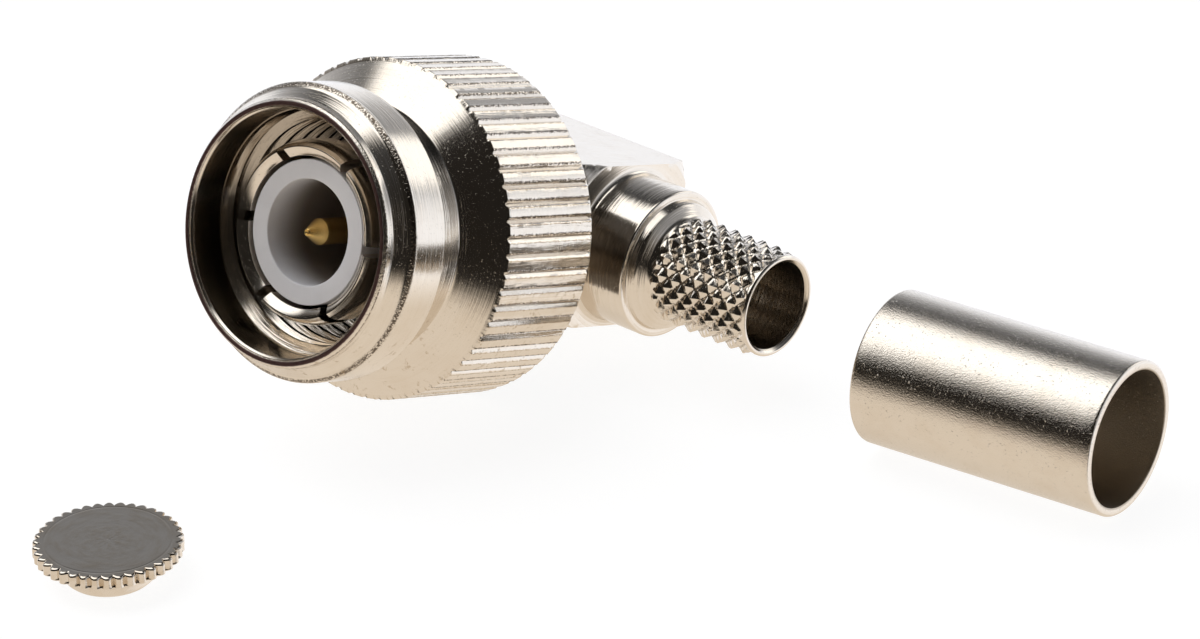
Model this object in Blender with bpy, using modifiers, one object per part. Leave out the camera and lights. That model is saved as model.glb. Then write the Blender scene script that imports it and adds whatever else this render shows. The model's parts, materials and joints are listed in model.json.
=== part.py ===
"""Right-angle threaded coaxial plug for crimping, with its loose ferrule and its loose press-in cap.

Metres, +Z up. Every piece of the plug is first modelled in the plug's own frame: X runs along the
crimp stem, Y runs along the plug's axis from its open front to its back, Z is square to both.
The plug then lies on the floor on the nut's rear rim and the elbow's rear edge, as it comes to rest.
"""

import math

import bpy
import bmesh
from mathutils import Euler, Matrix, Vector

MM = 0.001

# Clearances
SEAT_GAP = 0.04 * MM
RUNNING_GAP = 0.09 * MM
PASSING_GAP = 0.15 * MM

# Coupling nut, stations measured from its front face
NUT_LENGTH = 12.75 * MM
LIP_RADIUS = 5.96 * MM
LIP_CHAMFER = 0.16 * MM
LIP_ROOT_RADIUS = 6.24 * MM
LIP_LENGTH = 0.97 * MM
BAND_RADIUS = 6.80 * MM
BAND_START = 1.24 * MM
BAND_LENGTH = 2.02 * MM
BAND_EDGE = 0.09 * MM
NECK_RADIUS = 5.92 * MM
NECK_END = 5.28 * MM
GRIP_RADIUS = 7.85 * MM
GRIP_START = 6.55 * MM
GRIP_CHAMFER_LENGTH = 0.43 * MM
GRIP_CHAMFER_DEPTH = 0.35 * MM
GRIP_GROOVES = 61
GRIP_GROOVE_DEPTH = 0.27 * MM
GRIP_GROOVE_ANGLE = math.radians(64)
MOUTH_RADIUS = 5.62 * MM
MOUTH_CHAMFER = 0.12 * MM
MOUTH_DEPTH = 2.05 * MM
THREAD_MINOR_RADIUS = 5.13 * MM
THREAD_MAJOR_RADIUS = 5.57 * MM
THREAD_END = 9.10 * MM

# Outer contact, with its spring fingers, flange and shank
FINGER_TIP = 1.85 * MM
FINGER_BORE_RADIUS = 3.47 * MM
FINGER_WALL = 0.58 * MM
FINGER_TIP_WALL = 0.37 * MM
FINGER_BEAD = 0.17 * MM
FINGER_BEAD_LENGTH = 0.70 * MM
FINGER_SLOTS = 6
FINGER_SLOT_WIDTH = 0.42 * MM
FINGER_SLOT_END = 6.40 * MM
FINGER_SLOT_TURN = math.radians(4.5)
FLANGE_START = 9.00 * MM
FLANGE_THICKNESS = 1.30 * MM
SHANK_RADIUS = 4.20 * MM
TAIL_WALL = 0.55 * MM
TAIL_LENGTH = 1.60 * MM
LINER_RADIUS = 2.50 * MM

# Snap ring that keeps the nut on the shank
RING_SETBACK = 1.50 * MM
RING_THICKNESS = 0.55 * MM
RING_GROOVE_DEPTH = 0.40 * MM
RING_PROUD = 0.42 * MM
RING_OPENING = 1.60 * MM

# Gasket ring in front of the flange
GASKET_THICKNESS = 1.15 * MM
GASKET_WALL = 0.82 * MM

# Front and rear insulators and the centre pin
TUBE_FACE = 1.66 * MM
TUBE_RADIUS = 3.24 * MM
TUBE_BORE_RADIUS = 2.42 * MM
TUBE_FLOOR = 7.20 * MM
TUBE_END = 9.55 * MM
TUBE_SEAT_START = 8.00 * MM
BUSH_END = 14.60 * MM
PIN_TIP = 1.62 * MM
PIN_RADIUS = 0.61 * MM
PIN_TIP_RADIUS = 0.20 * MM
PIN_CONE_LENGTH = 0.80 * MM
PIN_COLLAR_RADIUS = 1.05 * MM
PIN_COLLAR_THICKNESS = 0.55 * MM
PIN_TAIL_RADIUS = 0.92 * MM
PIN_TAIL_PAST_STEM = 1.15 * MM
PIN_SLOT_WIDTH = 0.90 * MM
PIN_SLOT_BEFORE_STEM = 0.60 * MM

# Elbow body, turned from square bar whose axis is the stem's
CAP_WALL = 0.52 * MM
ELBOW_STANDOFF = 2.53 * MM
REAR_FACED_OFF = 0.21 * MM
BLOCK_HALF_LENGTH = 4.30 * MM
BLOCK_CORNER_TRIM = 0.42 * MM
CAVITY_RADIUS = 2.60 * MM
BOSS_RADIUS = 3.55 * MM
BOSS_END = 7.23 * MM
BOSS_FILLET = 0.28 * MM
BOSS_CHAMFER = 0.14 * MM
HUB_RADIUS = 3.08 * MM
HUB_END = 7.62 * MM
STEM_END = 13.73 * MM
STEM_RADIUS = 2.45 * MM
STEM_BORE_RADIUS = 2.10 * MM
KNURL_START = 8.15 * MM
KNURL_PITCH = 0.83 * MM
KNURL_ROWS = 6
KNURL_COLUMNS = 18
KNURL_RADIUS = 2.62 * MM
KNURL_DEPTH = 0.28 * MM

# Cap that closes the solder opening, lying loose with its face up
CAP_RADIUS = 3.37 * MM
CAP_THICKNESS = 0.58 * MM
CAP_TEETH = 38
CAP_TOOTH_DEPTH = 0.13 * MM
CAP_TOOTH_ANGLE = math.radians(84)
SPIGOT_RADIUS = 2.10 * MM
SPIGOT_LENGTH = 1.20 * MM
SPIGOT_CHAMFER = 0.12 * MM

# Crimp ferrule, lying loose beside the stem
FERRULE_LENGTH = 12.50 * MM
FERRULE_RADIUS = 3.63 * MM
FERRULE_WALL = 0.43 * MM
FERRULE_EDGE = 0.07 * MM

# Where the loose pieces lie, from the point on the floor under the plug's front
STEM_YAW = math.radians(6.83)
CAP_PLACE = (-0.72 * MM, -12.58 * MM)
FERRULE_PLACE = (28.13 * MM, 16.36 * MM)

# Worked out from the sizes above
FINGER_RADIUS = FINGER_BORE_RADIUS + FINGER_WALL
BAND_END = BAND_START + BAND_LENGTH
GRIP_END = NUT_LENGTH - GRIP_CHAMFER_LENGTH
FLANGE_RADIUS = THREAD_MINOR_RADIUS - PASSING_GAP
FLANGE_END = FLANGE_START + FLANGE_THICKNESS
NUT_SEAT = FLANGE_END + SEAT_GAP
NUT_HOLE_RADIUS = SHANK_RADIUS + RUNNING_GAP
RING_GROOVE_RADIUS = SHANK_RADIUS - RING_GROOVE_DEPTH
RING_RADIUS = SHANK_RADIUS + RING_PROUD
RING_START = NUT_LENGTH - RING_SETBACK
COLLAR_START = TUBE_END + SEAT_GAP
COLLAR_END = COLLAR_START + PIN_COLLAR_THICKNESS
BUSH_RADIUS = LINER_RADIUS - SEAT_GAP
BAR_WIDTH = 2 * (CAP_RADIUS + SEAT_GAP + CAP_WALL)
BLOCK_FRONT = NUT_LENGTH + ELBOW_STANDOFF
STEM_STATION = BLOCK_FRONT + BAR_WIDTH / 2
BLOCK_REAR = STEM_STATION + BAR_WIDTH / 2 - REAR_FACED_OFF
SHANK_END = BLOCK_FRONT - SEAT_GAP
TAIL_RADIUS = LINER_RADIUS + TAIL_WALL
TAIL_END = SHANK_END + TAIL_LENGTH
CAP_SEAT = BLOCK_REAR - CAP_THICKNESS
KNURL_ROOT_RADIUS = KNURL_RADIUS - KNURL_DEPTH
KNURL_END = KNURL_START + KNURL_ROWS * KNURL_PITCH
REST_TILT = math.atan2(GRIP_RADIUS - BAR_WIDTH / 2, BLOCK_REAR - GRIP_END)
PLUG_HEIGHT = GRIP_END * math.sin(REST_TILT) + GRIP_RADIUS * math.cos(REST_TILT)

# Facets round each kind of turned piece
ROUND_STEPS = 48
FINE_STEPS = 64
PIN_STEPS = 24

PLATED = ("plated_brass", (0.76, 0.72, 0.66, 1.0), 0.18, 1.0)
TUMBLED = ("tumbled_plate", (0.74, 0.70, 0.63, 1.0), 0.30, 1.0)
SPRING = ("spring_bronze", (0.60, 0.50, 0.36, 1.0), 0.30, 1.0)
GOLD = ("gold_plate", (0.86, 0.60, 0.22, 1.0), 0.20, 1.0)
WHITE = ("white_insulator", (0.86, 0.86, 0.88, 1.0), 0.45, 0.0)
SILICONE = ("silicone_rubber", (0.15, 0.15, 0.16, 1.0), 0.55, 0.0)


def clear_scene():
    """Remove every object that the open file holds."""
    for old in list(bpy.data.objects):
        bpy.data.objects.remove(old, do_unlink=True)


def make_collection(name):
    """Return a new collection linked to the scene."""
    collection = bpy.data.collections.new(name)
    bpy.context.scene.collection.children.link(collection)
    return collection


def make_material(name, colour, roughness, metallic):
    """Return a Principled material, made once and then shared."""
    material = bpy.data.materials.get(name)
    if material is None:
        material = bpy.data.materials.new(name)
        material.use_nodes = True
        shader = material.node_tree.nodes["Principled BSDF"]
        shader.inputs["Base Color"].default_value = colour
        shader.inputs["Roughness"].default_value = roughness
        shader.inputs["Metallic"].default_value = metallic
        material.diffuse_color = colour
    return material


def new_object(name, mesh, collection):
    """Link a new object that shows the mesh."""
    made = bpy.data.objects.new(name, mesh)
    collection.objects.link(made)
    return made


def evaluate(target):
    """Replace an object's mesh by what its modifiers make of it."""
    depsgraph = bpy.context.evaluated_depsgraph_get()
    mesh = bpy.data.meshes.new_from_object(target.evaluated_get(depsgraph))
    target.modifiers.clear()
    target.data = mesh


def turned(name, profile, steps, collection, hollow):
    """Turn a profile of (radius, station) points about Z.

    A hollow profile is a closed loop. A solid one runs from the axis to the axis.
    Both go down the outer side, from the highest station to the lowest.
    """
    mesh = bpy.data.meshes.new(name)
    points = [(radius, 0.0, station) for radius, station in profile]
    edges = [(index, index + 1) for index in range(len(points) - 1)]
    if hollow:
        edges.append((len(points) - 1, 0))
    mesh.from_pydata(points, edges, [])
    made = new_object(name, mesh, collection)
    screw = made.modifiers.new("turn", "SCREW")
    screw.angle = math.tau
    screw.steps = steps
    screw.render_steps = steps
    screw.use_merge_vertices = True
    screw.merge_threshold = 1e-7
    evaluate(made)
    return made


def combine(target, tool, operation):
    """Join a tool to the target, or cut it out, and remove the tool."""
    tool.hide_render = True
    tool.display_type = "WIRE"
    boolean = target.modifiers.new("combine", "BOOLEAN")
    boolean.object = tool
    boolean.operation = operation
    boolean.solver = "EXACT"
    evaluate(target)
    bpy.data.objects.remove(tool, do_unlink=True)


def box(name, low, high, collection):
    """Return a box from its lowest to its highest corner."""
    mesh = bpy.data.meshes.new(name)
    shape = bmesh.new()
    bmesh.ops.create_cube(shape, size=1.0)
    size = Vector(high) - Vector(low)
    middle = (Vector(high) + Vector(low)) / 2
    bmesh.ops.scale(shape, vec=size, verts=shape.verts)
    bmesh.ops.translate(shape, vec=middle, verts=shape.verts)
    shape.to_mesh(mesh)
    shape.free()
    return new_object(name, mesh, collection)


def quarter_arc(centre, radius, start, steps):
    """Return the points of a quarter turn from a start angle in degrees, clockwise for steps below 0."""
    turn = math.copysign(math.pi / 2, steps)
    count = abs(steps)
    angles = [math.radians(start) + turn * index / count for index in range(count + 1)]
    return [(centre[0] + radius * math.cos(a), centre[1] + radius * math.sin(a)) for a in angles]


def flat_radius(radius, count):
    """Return the corner radius of a polygon whose flats lie at the given radius."""
    return radius / math.cos(math.pi / count)


def serration_cutter(name, radius, count, depth, angle, low, high, collection):
    """Return one V-shaped prism for each corner of a turned polygon, with its tip pointing inwards."""
    shape = bmesh.new()
    reach = depth * 1.6
    for index in range(count):
        made = bmesh.ops.create_cone(
            shape, cap_ends=True, segments=3, radius1=1.0, radius2=1.0, depth=high - low
        )
        width = math.tan(angle / 2) / math.tan(math.radians(30))
        tip_first = Matrix.Rotation(math.pi / 2, 4, "Z")
        place = Matrix.Translation((radius - depth + reach, 0.0, (low + high) / 2))
        size = Matrix.Diagonal((reach, reach * width, 1.0, 1.0))
        spin = Matrix.Rotation(math.tau * index / count, 4, "Z")
        bmesh.ops.transform(shape, matrix=spin @ place @ size @ tip_first, verts=made["verts"])
    mesh = bpy.data.meshes.new(name)
    shape.to_mesh(mesh)
    shape.free()
    return new_object(name, mesh, collection)


def lay_along_plug(target, spin=0.0):
    """Turn a piece made about Z so that its axis becomes the plug's, after a spin about that axis."""
    target.data.transform(Matrix.Rotation(-math.pi / 2, 4, "X") @ Matrix.Rotation(spin, 4, "Z"))


def lay_along_stem(target):
    """Turn a piece made about Z so that its axis becomes the stem's."""
    middle = Matrix.Translation((0.0, STEM_STATION, 0.0))
    target.data.transform(middle @ Matrix.Rotation(math.pi / 2, 4, "Y"))


def finish(target, finish_values, parent):
    """Shade a piece smooth between its sharp edges, give it its material and hang it on its parent."""
    target.data.shade_smooth()
    target.data.set_sharp_from_angle(angle=math.radians(32))
    target.data.materials.clear()
    target.data.materials.append(make_material(*finish_values))
    target.parent = parent


def build_coupling_nut(parts, tools, parent):
    """Turn the nut and cut the straight knurl of its grip."""
    corner = flat_radius(GRIP_RADIUS, GRIP_GROOVES)
    rear_corner = corner - GRIP_CHAMFER_DEPTH
    ring_play = RING_THICKNESS + 2 * RUNNING_GAP
    ring_slot_start = RING_START - RUNNING_GAP
    outside = [
        (rear_corner, NUT_LENGTH),
        (corner, GRIP_END),
        (corner, GRIP_START),
        (NECK_RADIUS, NECK_END),
        (NECK_RADIUS, BAND_END),
        (BAND_RADIUS - BAND_EDGE, BAND_END),
        (BAND_RADIUS, BAND_END - BAND_EDGE),
        (BAND_RADIUS, BAND_START + BAND_EDGE),
        (BAND_RADIUS - BAND_EDGE, BAND_START),
        (LIP_ROOT_RADIUS, LIP_LENGTH),
        (LIP_RADIUS + LIP_CHAMFER, LIP_CHAMFER),
        (LIP_RADIUS, 0.0),
    ]
    inside = [
        (MOUTH_RADIUS + MOUTH_CHAMFER, 0.0),
        (MOUTH_RADIUS, 2 * MOUTH_CHAMFER),
        (MOUTH_RADIUS, MOUTH_DEPTH),
        (THREAD_MINOR_RADIUS, MOUTH_DEPTH + MOUTH_RADIUS - THREAD_MINOR_RADIUS),
        (THREAD_MINOR_RADIUS, THREAD_END),
        (THREAD_MAJOR_RADIUS, THREAD_END),
        (THREAD_MAJOR_RADIUS, NUT_SEAT),
        (NUT_HOLE_RADIUS, NUT_SEAT),
        (NUT_HOLE_RADIUS, ring_slot_start),
        (RING_RADIUS + RUNNING_GAP, ring_slot_start),
        (RING_RADIUS + RUNNING_GAP, ring_slot_start + ring_play),
        (NUT_HOLE_RADIUS, ring_slot_start + ring_play),
        (NUT_HOLE_RADIUS, NUT_LENGTH),
    ]
    nut = turned("coupling_nut", outside + inside, GRIP_GROOVES, parts, hollow=True)
    grooves = serration_cutter(
        "grip_grooves", corner, GRIP_GROOVES, GRIP_GROOVE_DEPTH, GRIP_GROOVE_ANGLE,
        NECK_END, NUT_LENGTH + GRIP_GROOVE_DEPTH, tools,
    )
    combine(nut, grooves, "DIFFERENCE")
    land_down = math.pi / 2 - math.pi / GRIP_GROOVES
    lay_along_plug(nut, land_down % (math.tau / GRIP_GROOVES))
    finish(nut, PLATED, parent)


def build_outer_contact(parts, tools, parent):
    """Turn the outer contact and saw its front into spring fingers."""
    bead_radius = FINGER_RADIUS + FINGER_BEAD
    tip_radius = FINGER_BORE_RADIUS + FINGER_TIP_WALL
    bead_start = FINGER_TIP + bead_radius - tip_radius
    groove_start = RING_START - SEAT_GAP
    groove_end = RING_START + RING_THICKNESS + SEAT_GAP
    outside = [
        (TAIL_RADIUS, TAIL_END),
        (TAIL_RADIUS, SHANK_END),
        (SHANK_RADIUS, SHANK_END),
        (SHANK_RADIUS, groove_end),
        (RING_GROOVE_RADIUS, groove_end),
        (RING_GROOVE_RADIUS, groove_start),
        (SHANK_RADIUS, groove_start),
        (SHANK_RADIUS, FLANGE_END),
        (FLANGE_RADIUS, FLANGE_END),
        (FLANGE_RADIUS, FLANGE_START),
        (FINGER_RADIUS, FLANGE_START),
        (FINGER_RADIUS, bead_start + FINGER_BEAD_LENGTH + 3 * FINGER_BEAD),
        (bead_radius, bead_start + FINGER_BEAD_LENGTH),
        (bead_radius, bead_start),
        (tip_radius, FINGER_TIP),
    ]
    inside = [
        (FINGER_BORE_RADIUS, FINGER_TIP),
        (FINGER_BORE_RADIUS, TUBE_SEAT_START),
        (TUBE_RADIUS + SEAT_GAP, TUBE_SEAT_START),
        (TUBE_RADIUS + SEAT_GAP, TUBE_END + SEAT_GAP),
        (LINER_RADIUS, TUBE_END + SEAT_GAP),
        (LINER_RADIUS, TAIL_END),
    ]
    contact = turned("outer_contact", outside + inside, ROUND_STEPS, parts, hollow=True)
    lay_along_plug(contact)
    for index in range(FINGER_SLOTS // 2):
        saw = box(
            "saw", (-bead_radius * 1.2, FINGER_TIP * 0.5, -FINGER_SLOT_WIDTH / 2),
            (bead_radius * 1.2, FINGER_SLOT_END, FINGER_SLOT_WIDTH / 2), tools,
        )
        turn = -FINGER_SLOT_TURN + math.tau * index / FINGER_SLOTS
        saw.data.transform(Matrix.Rotation(turn, 4, "Y"))
        combine(contact, saw, "DIFFERENCE")
    finish(contact, PLATED, parent)


def build_snap_ring(parts, tools, parent):
    """Turn the flat ring in the shank's groove and open it at the bottom."""
    inner = RING_GROOVE_RADIUS + SEAT_GAP
    far = RING_START + RING_THICKNESS
    loop = [(RING_RADIUS, far), (RING_RADIUS, RING_START), (inner, RING_START), (inner, far)]
    ring = turned("snap_ring", loop, ROUND_STEPS, parts, hollow=True)
    lay_along_plug(ring)
    opening = box(
        "ring_opening", (-RING_OPENING / 2, RING_START - RING_THICKNESS, -RING_RADIUS * 1.2),
        (RING_OPENING / 2, far + RING_THICKNESS, 0.0), tools,
    )
    combine(ring, opening, "DIFFERENCE")
    finish(ring, SPRING, parent)


def build_gasket(parts, parent):
    """Turn the sealing ring that lies against the flange inside the nut."""
    rear = FLANGE_START - SEAT_GAP
    front = rear - GASKET_THICKNESS
    inner = FINGER_RADIUS + SEAT_GAP
    outer = inner + GASKET_WALL
    gasket = turned(
        "gasket", [(outer, rear), (outer, front), (inner, front), (inner, rear)],
        ROUND_STEPS, parts, hollow=True,
    )
    lay_along_plug(gasket)
    finish(gasket, SILICONE, parent)


def build_front_insulator(parts, parent):
    """Turn the white tube round the centre pin, with the floor that holds the pin."""
    hole = PIN_RADIUS + SEAT_GAP
    loop = [
        (TUBE_RADIUS, TUBE_END),
        (TUBE_RADIUS, TUBE_FACE),
        (TUBE_BORE_RADIUS, TUBE_FACE),
        (TUBE_BORE_RADIUS, TUBE_FLOOR),
        (hole, TUBE_FLOOR),
        (hole, TUBE_END),
    ]
    tube = turned("front_insulator", loop, ROUND_STEPS, parts, hollow=True)
    lay_along_plug(tube)
    finish(tube, WHITE, parent)


def build_rear_insulator(parts, parent):
    """Turn the bush behind the pin's collar, which is trapped between the two insulators."""
    hole = PIN_TAIL_RADIUS + SEAT_GAP
    pocket = PIN_COLLAR_RADIUS + SEAT_GAP
    front = COLLAR_START + SEAT_GAP
    loop = [
        (BUSH_RADIUS, BUSH_END),
        (BUSH_RADIUS, front),
        (pocket, front),
        (pocket, COLLAR_END + SEAT_GAP),
        (hole, COLLAR_END + SEAT_GAP),
        (hole, BUSH_END),
    ]
    bush = turned("rear_insulator", loop, ROUND_STEPS, parts, hollow=True)
    lay_along_plug(bush)
    finish(bush, WHITE, parent)


def build_centre_pin(parts, tools, parent):
    """Turn the pin and saw the solder slot for the cable's conductor into its tail."""
    tail_end = STEM_STATION + PIN_TAIL_PAST_STEM
    profile = [
        (0.0, tail_end),
        (PIN_TAIL_RADIUS, tail_end),
        (PIN_TAIL_RADIUS, COLLAR_END),
        (PIN_COLLAR_RADIUS, COLLAR_END),
        (PIN_COLLAR_RADIUS, COLLAR_START),
        (PIN_RADIUS, COLLAR_START),
        (PIN_RADIUS, PIN_TIP + PIN_CONE_LENGTH),
        (PIN_TIP_RADIUS, PIN_TIP),
        (0.0, PIN_TIP),
    ]
    pin = turned("centre_pin", profile, PIN_STEPS, parts, hollow=False)
    lay_along_plug(pin)
    reach = PIN_TAIL_RADIUS * 1.3
    slot = box(
        "solder_slot", (-reach, STEM_STATION - PIN_SLOT_BEFORE_STEM, -PIN_SLOT_WIDTH / 2),
        (reach, tail_end + reach, PIN_SLOT_WIDTH / 2), tools,
    )
    combine(pin, slot, "DIFFERENCE")
    finish(pin, GOLD, parent)


def diamond_knurl(name, collection):
    """Return the stem's knurl: a tube of small pyramids between two sets of crossing grooves.

    The pyramids' tips and the groove crossings alternate over a grid of half pitches. Low corners
    are joined across each face, which leaves four flat sides on each pyramid.
    """
    shape = bmesh.new()
    length = KNURL_END - KNURL_START
    bmesh.ops.create_cone(
        shape, cap_ends=True, segments=2 * KNURL_COLUMNS,
        radius1=KNURL_ROOT_RADIUS, radius2=KNURL_ROOT_RADIUS, depth=length,
    )
    upright = [e for e in shape.edges if abs(e.verts[0].co.z - e.verts[1].co.z) > length / 2]
    bmesh.ops.subdivide_edges(shape, edges=upright, cuts=2 * KNURL_ROWS - 1, use_grid_fill=True)
    half_turn = math.pi / KNURL_COLUMNS
    low = []
    for vert in shape.verts:
        row = round((vert.co.z + length / 2) / (KNURL_PITCH / 2))
        column = round(math.atan2(vert.co.y, vert.co.x) / half_turn)
        inner_row = 0 < row < 2 * KNURL_ROWS
        if inner_row and (row + column) % 2:
            across = Vector((vert.co.x, vert.co.y, 0.0)).normalized() * KNURL_DEPTH
            vert.co += across
        else:
            low.append(vert)
    bmesh.ops.connect_verts(shape, verts=low)
    mesh = bpy.data.meshes.new(name)
    shape.to_mesh(mesh)
    shape.free()
    mesh.transform(Matrix.Translation((0.0, 0.0, (KNURL_START + KNURL_END) / 2)))
    return new_object(name, mesh, collection)


def stem_profile():
    """Return the stem's turned outline, from its open end down into the block."""
    overlap = KNURL_PITCH / 4
    core = (KNURL_ROOT_RADIUS + STEM_BORE_RADIUS) / 2
    edge = (STEM_RADIUS - STEM_BORE_RADIUS) / 4
    hub_fillet = min(HUB_RADIUS - KNURL_ROOT_RADIUS, KNURL_START - HUB_END)
    hub_centre = (KNURL_ROOT_RADIUS + hub_fillet, KNURL_START)
    boss_centre = (BOSS_RADIUS + BOSS_FILLET, BLOCK_HALF_LENGTH + BOSS_FILLET)
    points = [
        (0.0, STEM_END),
        (STEM_RADIUS - edge, STEM_END),
        (STEM_RADIUS, STEM_END - edge),
        (STEM_RADIUS, KNURL_END - overlap),
        (core, KNURL_END - overlap),
        (core, KNURL_START + overlap),
        (KNURL_ROOT_RADIUS, KNURL_START + overlap),
    ]
    points += quarter_arc(hub_centre, hub_fillet, 180, 4)
    points += [
        (HUB_RADIUS, KNURL_START - hub_fillet),
        (HUB_RADIUS, BOSS_END),
        (BOSS_RADIUS - BOSS_CHAMFER, BOSS_END),
        (BOSS_RADIUS, BOSS_END - BOSS_CHAMFER),
    ]
    points += quarter_arc(boss_centre, BOSS_FILLET, 180, 4)
    points += [(boss_centre[0], 0.0), (0.0, 0.0)]
    return points


def build_elbow_body(parts, tools, parent):
    """Make the elbow: a square block with a turned boss and knurled crimp stem, bored both ways."""
    half = BAR_WIDTH / 2
    block = box(
        "elbow_body", (-BLOCK_HALF_LENGTH, BLOCK_FRONT, -half), (BLOCK_HALF_LENGTH, BLOCK_REAR, half), parts
    )
    wide = half * math.sqrt(2) + BLOCK_CORNER_TRIM
    narrow = wide - 3 * BLOCK_CORNER_TRIM
    far = BLOCK_HALF_LENGTH + BLOCK_CORNER_TRIM
    near = far - 3 * BLOCK_CORNER_TRIM
    envelope = turned(
        "turned_corners",
        [(0.0, far), (narrow, far), (wide, near), (wide, -near), (narrow, -far), (0.0, -far)],
        FINE_STEPS, tools, hollow=False,
    )
    lay_along_stem(envelope)
    combine(block, envelope, "INTERSECT")
    stem = turned("stem", stem_profile(), FINE_STEPS, tools, hollow=False)
    lay_along_stem(stem)
    combine(block, stem, "UNION")
    knurl = diamond_knurl("knurl", tools)
    lay_along_stem(knurl)
    combine(block, knurl, "UNION")
    beyond = BAR_WIDTH / 10
    recess = CAP_RADIUS + SEAT_GAP
    entry = TAIL_RADIUS + SEAT_GAP
    entry_end = TAIL_END + SEAT_GAP
    plug_bore = turned(
        "plug_bore",
        [
            (0.0, BLOCK_REAR + beyond),
            (recess, BLOCK_REAR + beyond),
            (recess, CAP_SEAT - SEAT_GAP),
            (CAVITY_RADIUS, CAP_SEAT - SEAT_GAP),
            (CAVITY_RADIUS, entry_end),
            (entry, entry_end),
            (entry, BLOCK_FRONT - beyond),
            (0.0, BLOCK_FRONT - beyond),
        ],
        ROUND_STEPS, tools, hollow=False,
    )
    lay_along_plug(plug_bore)
    combine(block, plug_bore, "DIFFERENCE")
    stem_bore = turned(
        "stem_bore",
        [
            (0.0, STEM_END + beyond),
            (STEM_BORE_RADIUS, STEM_END + beyond),
            (STEM_BORE_RADIUS, 0.0),
            (0.0, 0.0),
        ],
        ROUND_STEPS, tools, hollow=False,
    )
    lay_along_stem(stem_bore)
    combine(block, stem_bore, "DIFFERENCE")
    finish(block, PLATED, parent)


def build_cap(parts, tools, parent):
    """Turn the cap, serrate its rim and stand it on its spigot."""
    corner = flat_radius(CAP_RADIUS, CAP_TEETH)
    top = SPIGOT_LENGTH + CAP_THICKNESS
    profile = [
        (0.0, top),
        (corner, top),
        (corner, SPIGOT_LENGTH),
        (SPIGOT_RADIUS, SPIGOT_LENGTH),
        (SPIGOT_RADIUS, SPIGOT_CHAMFER),
        (SPIGOT_RADIUS - SPIGOT_CHAMFER, 0.0),
        (0.0, 0.0),
    ]
    cap = turned("cap", profile, CAP_TEETH, parts, hollow=False)
    serrations = serration_cutter(
        "cap_serrations", corner, CAP_TEETH, CAP_TOOTH_DEPTH, CAP_TOOTH_ANGLE,
        SPIGOT_LENGTH - CAP_TOOTH_DEPTH, top + CAP_TOOTH_DEPTH, tools,
    )
    combine(cap, serrations, "DIFFERENCE")
    finish(cap, PLATED, parent)


def build_ferrule(parts, parent):
    """Turn the plain crimp tube and lay it on its side."""
    bore = FERRULE_RADIUS - FERRULE_WALL
    half = FERRULE_LENGTH / 2
    corner = flat_radius(FERRULE_RADIUS, FINE_STEPS)
    loop = [
        (corner - FERRULE_EDGE, half),
        (corner, half - FERRULE_EDGE),
        (corner, FERRULE_EDGE - half),
        (corner - FERRULE_EDGE, -half),
        (bore + FERRULE_EDGE, -half),
        (bore, FERRULE_EDGE - half),
        (bore, half - FERRULE_EDGE),
        (bore + FERRULE_EDGE, half),
    ]
    ferrule = turned("ferrule", loop, FINE_STEPS, parts, hollow=True)
    flat_down = Matrix.Rotation(math.pi / FINE_STEPS, 4, "Z")
    ferrule.data.transform(Matrix.Rotation(math.pi / 2, 4, "Y") @ flat_down)
    finish(ferrule, TUMBLED, parent)


def make_frame(name, parts, parent, place, turn=(0.0, 0.0, 0.0)):
    """Return an empty that carries pieces at a place and a turn."""
    frame = bpy.data.objects.new(name, None)
    frame.empty_display_size = BAR_WIDTH / 2
    frame.location = place
    frame.rotation_euler = Euler(turn)
    frame.parent = parent
    parts.objects.link(frame)
    return frame


def centre_on_floor(root, parts):
    """Move the root so that the middle of the object's base lies at the world's origin."""
    bpy.context.view_layer.update()
    corners = [
        piece.matrix_world @ vertex.co
        for piece in parts.objects if piece.type == "MESH"
        for vertex in piece.data.vertices
    ]
    low = [min(corner[axis] for corner in corners) for axis in range(3)]
    high = [max(corner[axis] for corner in corners) for axis in range(3)]
    root.location = (-(low[0] + high[0]) / 2, -(low[1] + high[1]) / 2, -low[2])
    bpy.context.view_layer.update()


def main():
    """Build every piece and set it in its place."""
    clear_scene()
    parts = make_collection("coaxial_plug")
    tools = make_collection("cutters")
    root = make_frame("floor_frame", parts, None, (0.0, 0.0, 0.0))
    plug = make_frame("plug_frame", parts, root, (0.0, 0.0, PLUG_HEIGHT), (-REST_TILT, 0.0, -STEM_YAW))
    cap_rest = make_frame("cap_frame", parts, root, (*CAP_PLACE, 0.0))
    ferrule_rest = make_frame("ferrule_frame", parts, root, (*FERRULE_PLACE, FERRULE_RADIUS))
    build_coupling_nut(parts, tools, plug)
    build_outer_contact(parts, tools, plug)
    build_snap_ring(parts, tools, plug)
    build_gasket(parts, plug)
    build_front_insulator(parts, plug)
    build_rear_insulator(parts, plug)
    build_centre_pin(parts, tools, plug)
    build_elbow_body(parts, tools, plug)
    build_cap(parts, tools, cap_rest)
    build_ferrule(parts, ferrule_rest)
    centre_on_floor(root, parts)


main()
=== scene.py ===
"""Right-angle threaded coaxial plug in bright nickel, with its loose ferrule and its loose cap.

Sizes are in millimetres and become metres where a point gets its place. Pieces of the plug are worked
out in the plug's own frame: x along the crimp stem, y along the plug's axis from its open front to its
back, z square to both.
"""

import json
import logging
import math
from dataclasses import dataclass, field
from enum import Enum
from typing import Callable, Protocol

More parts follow.
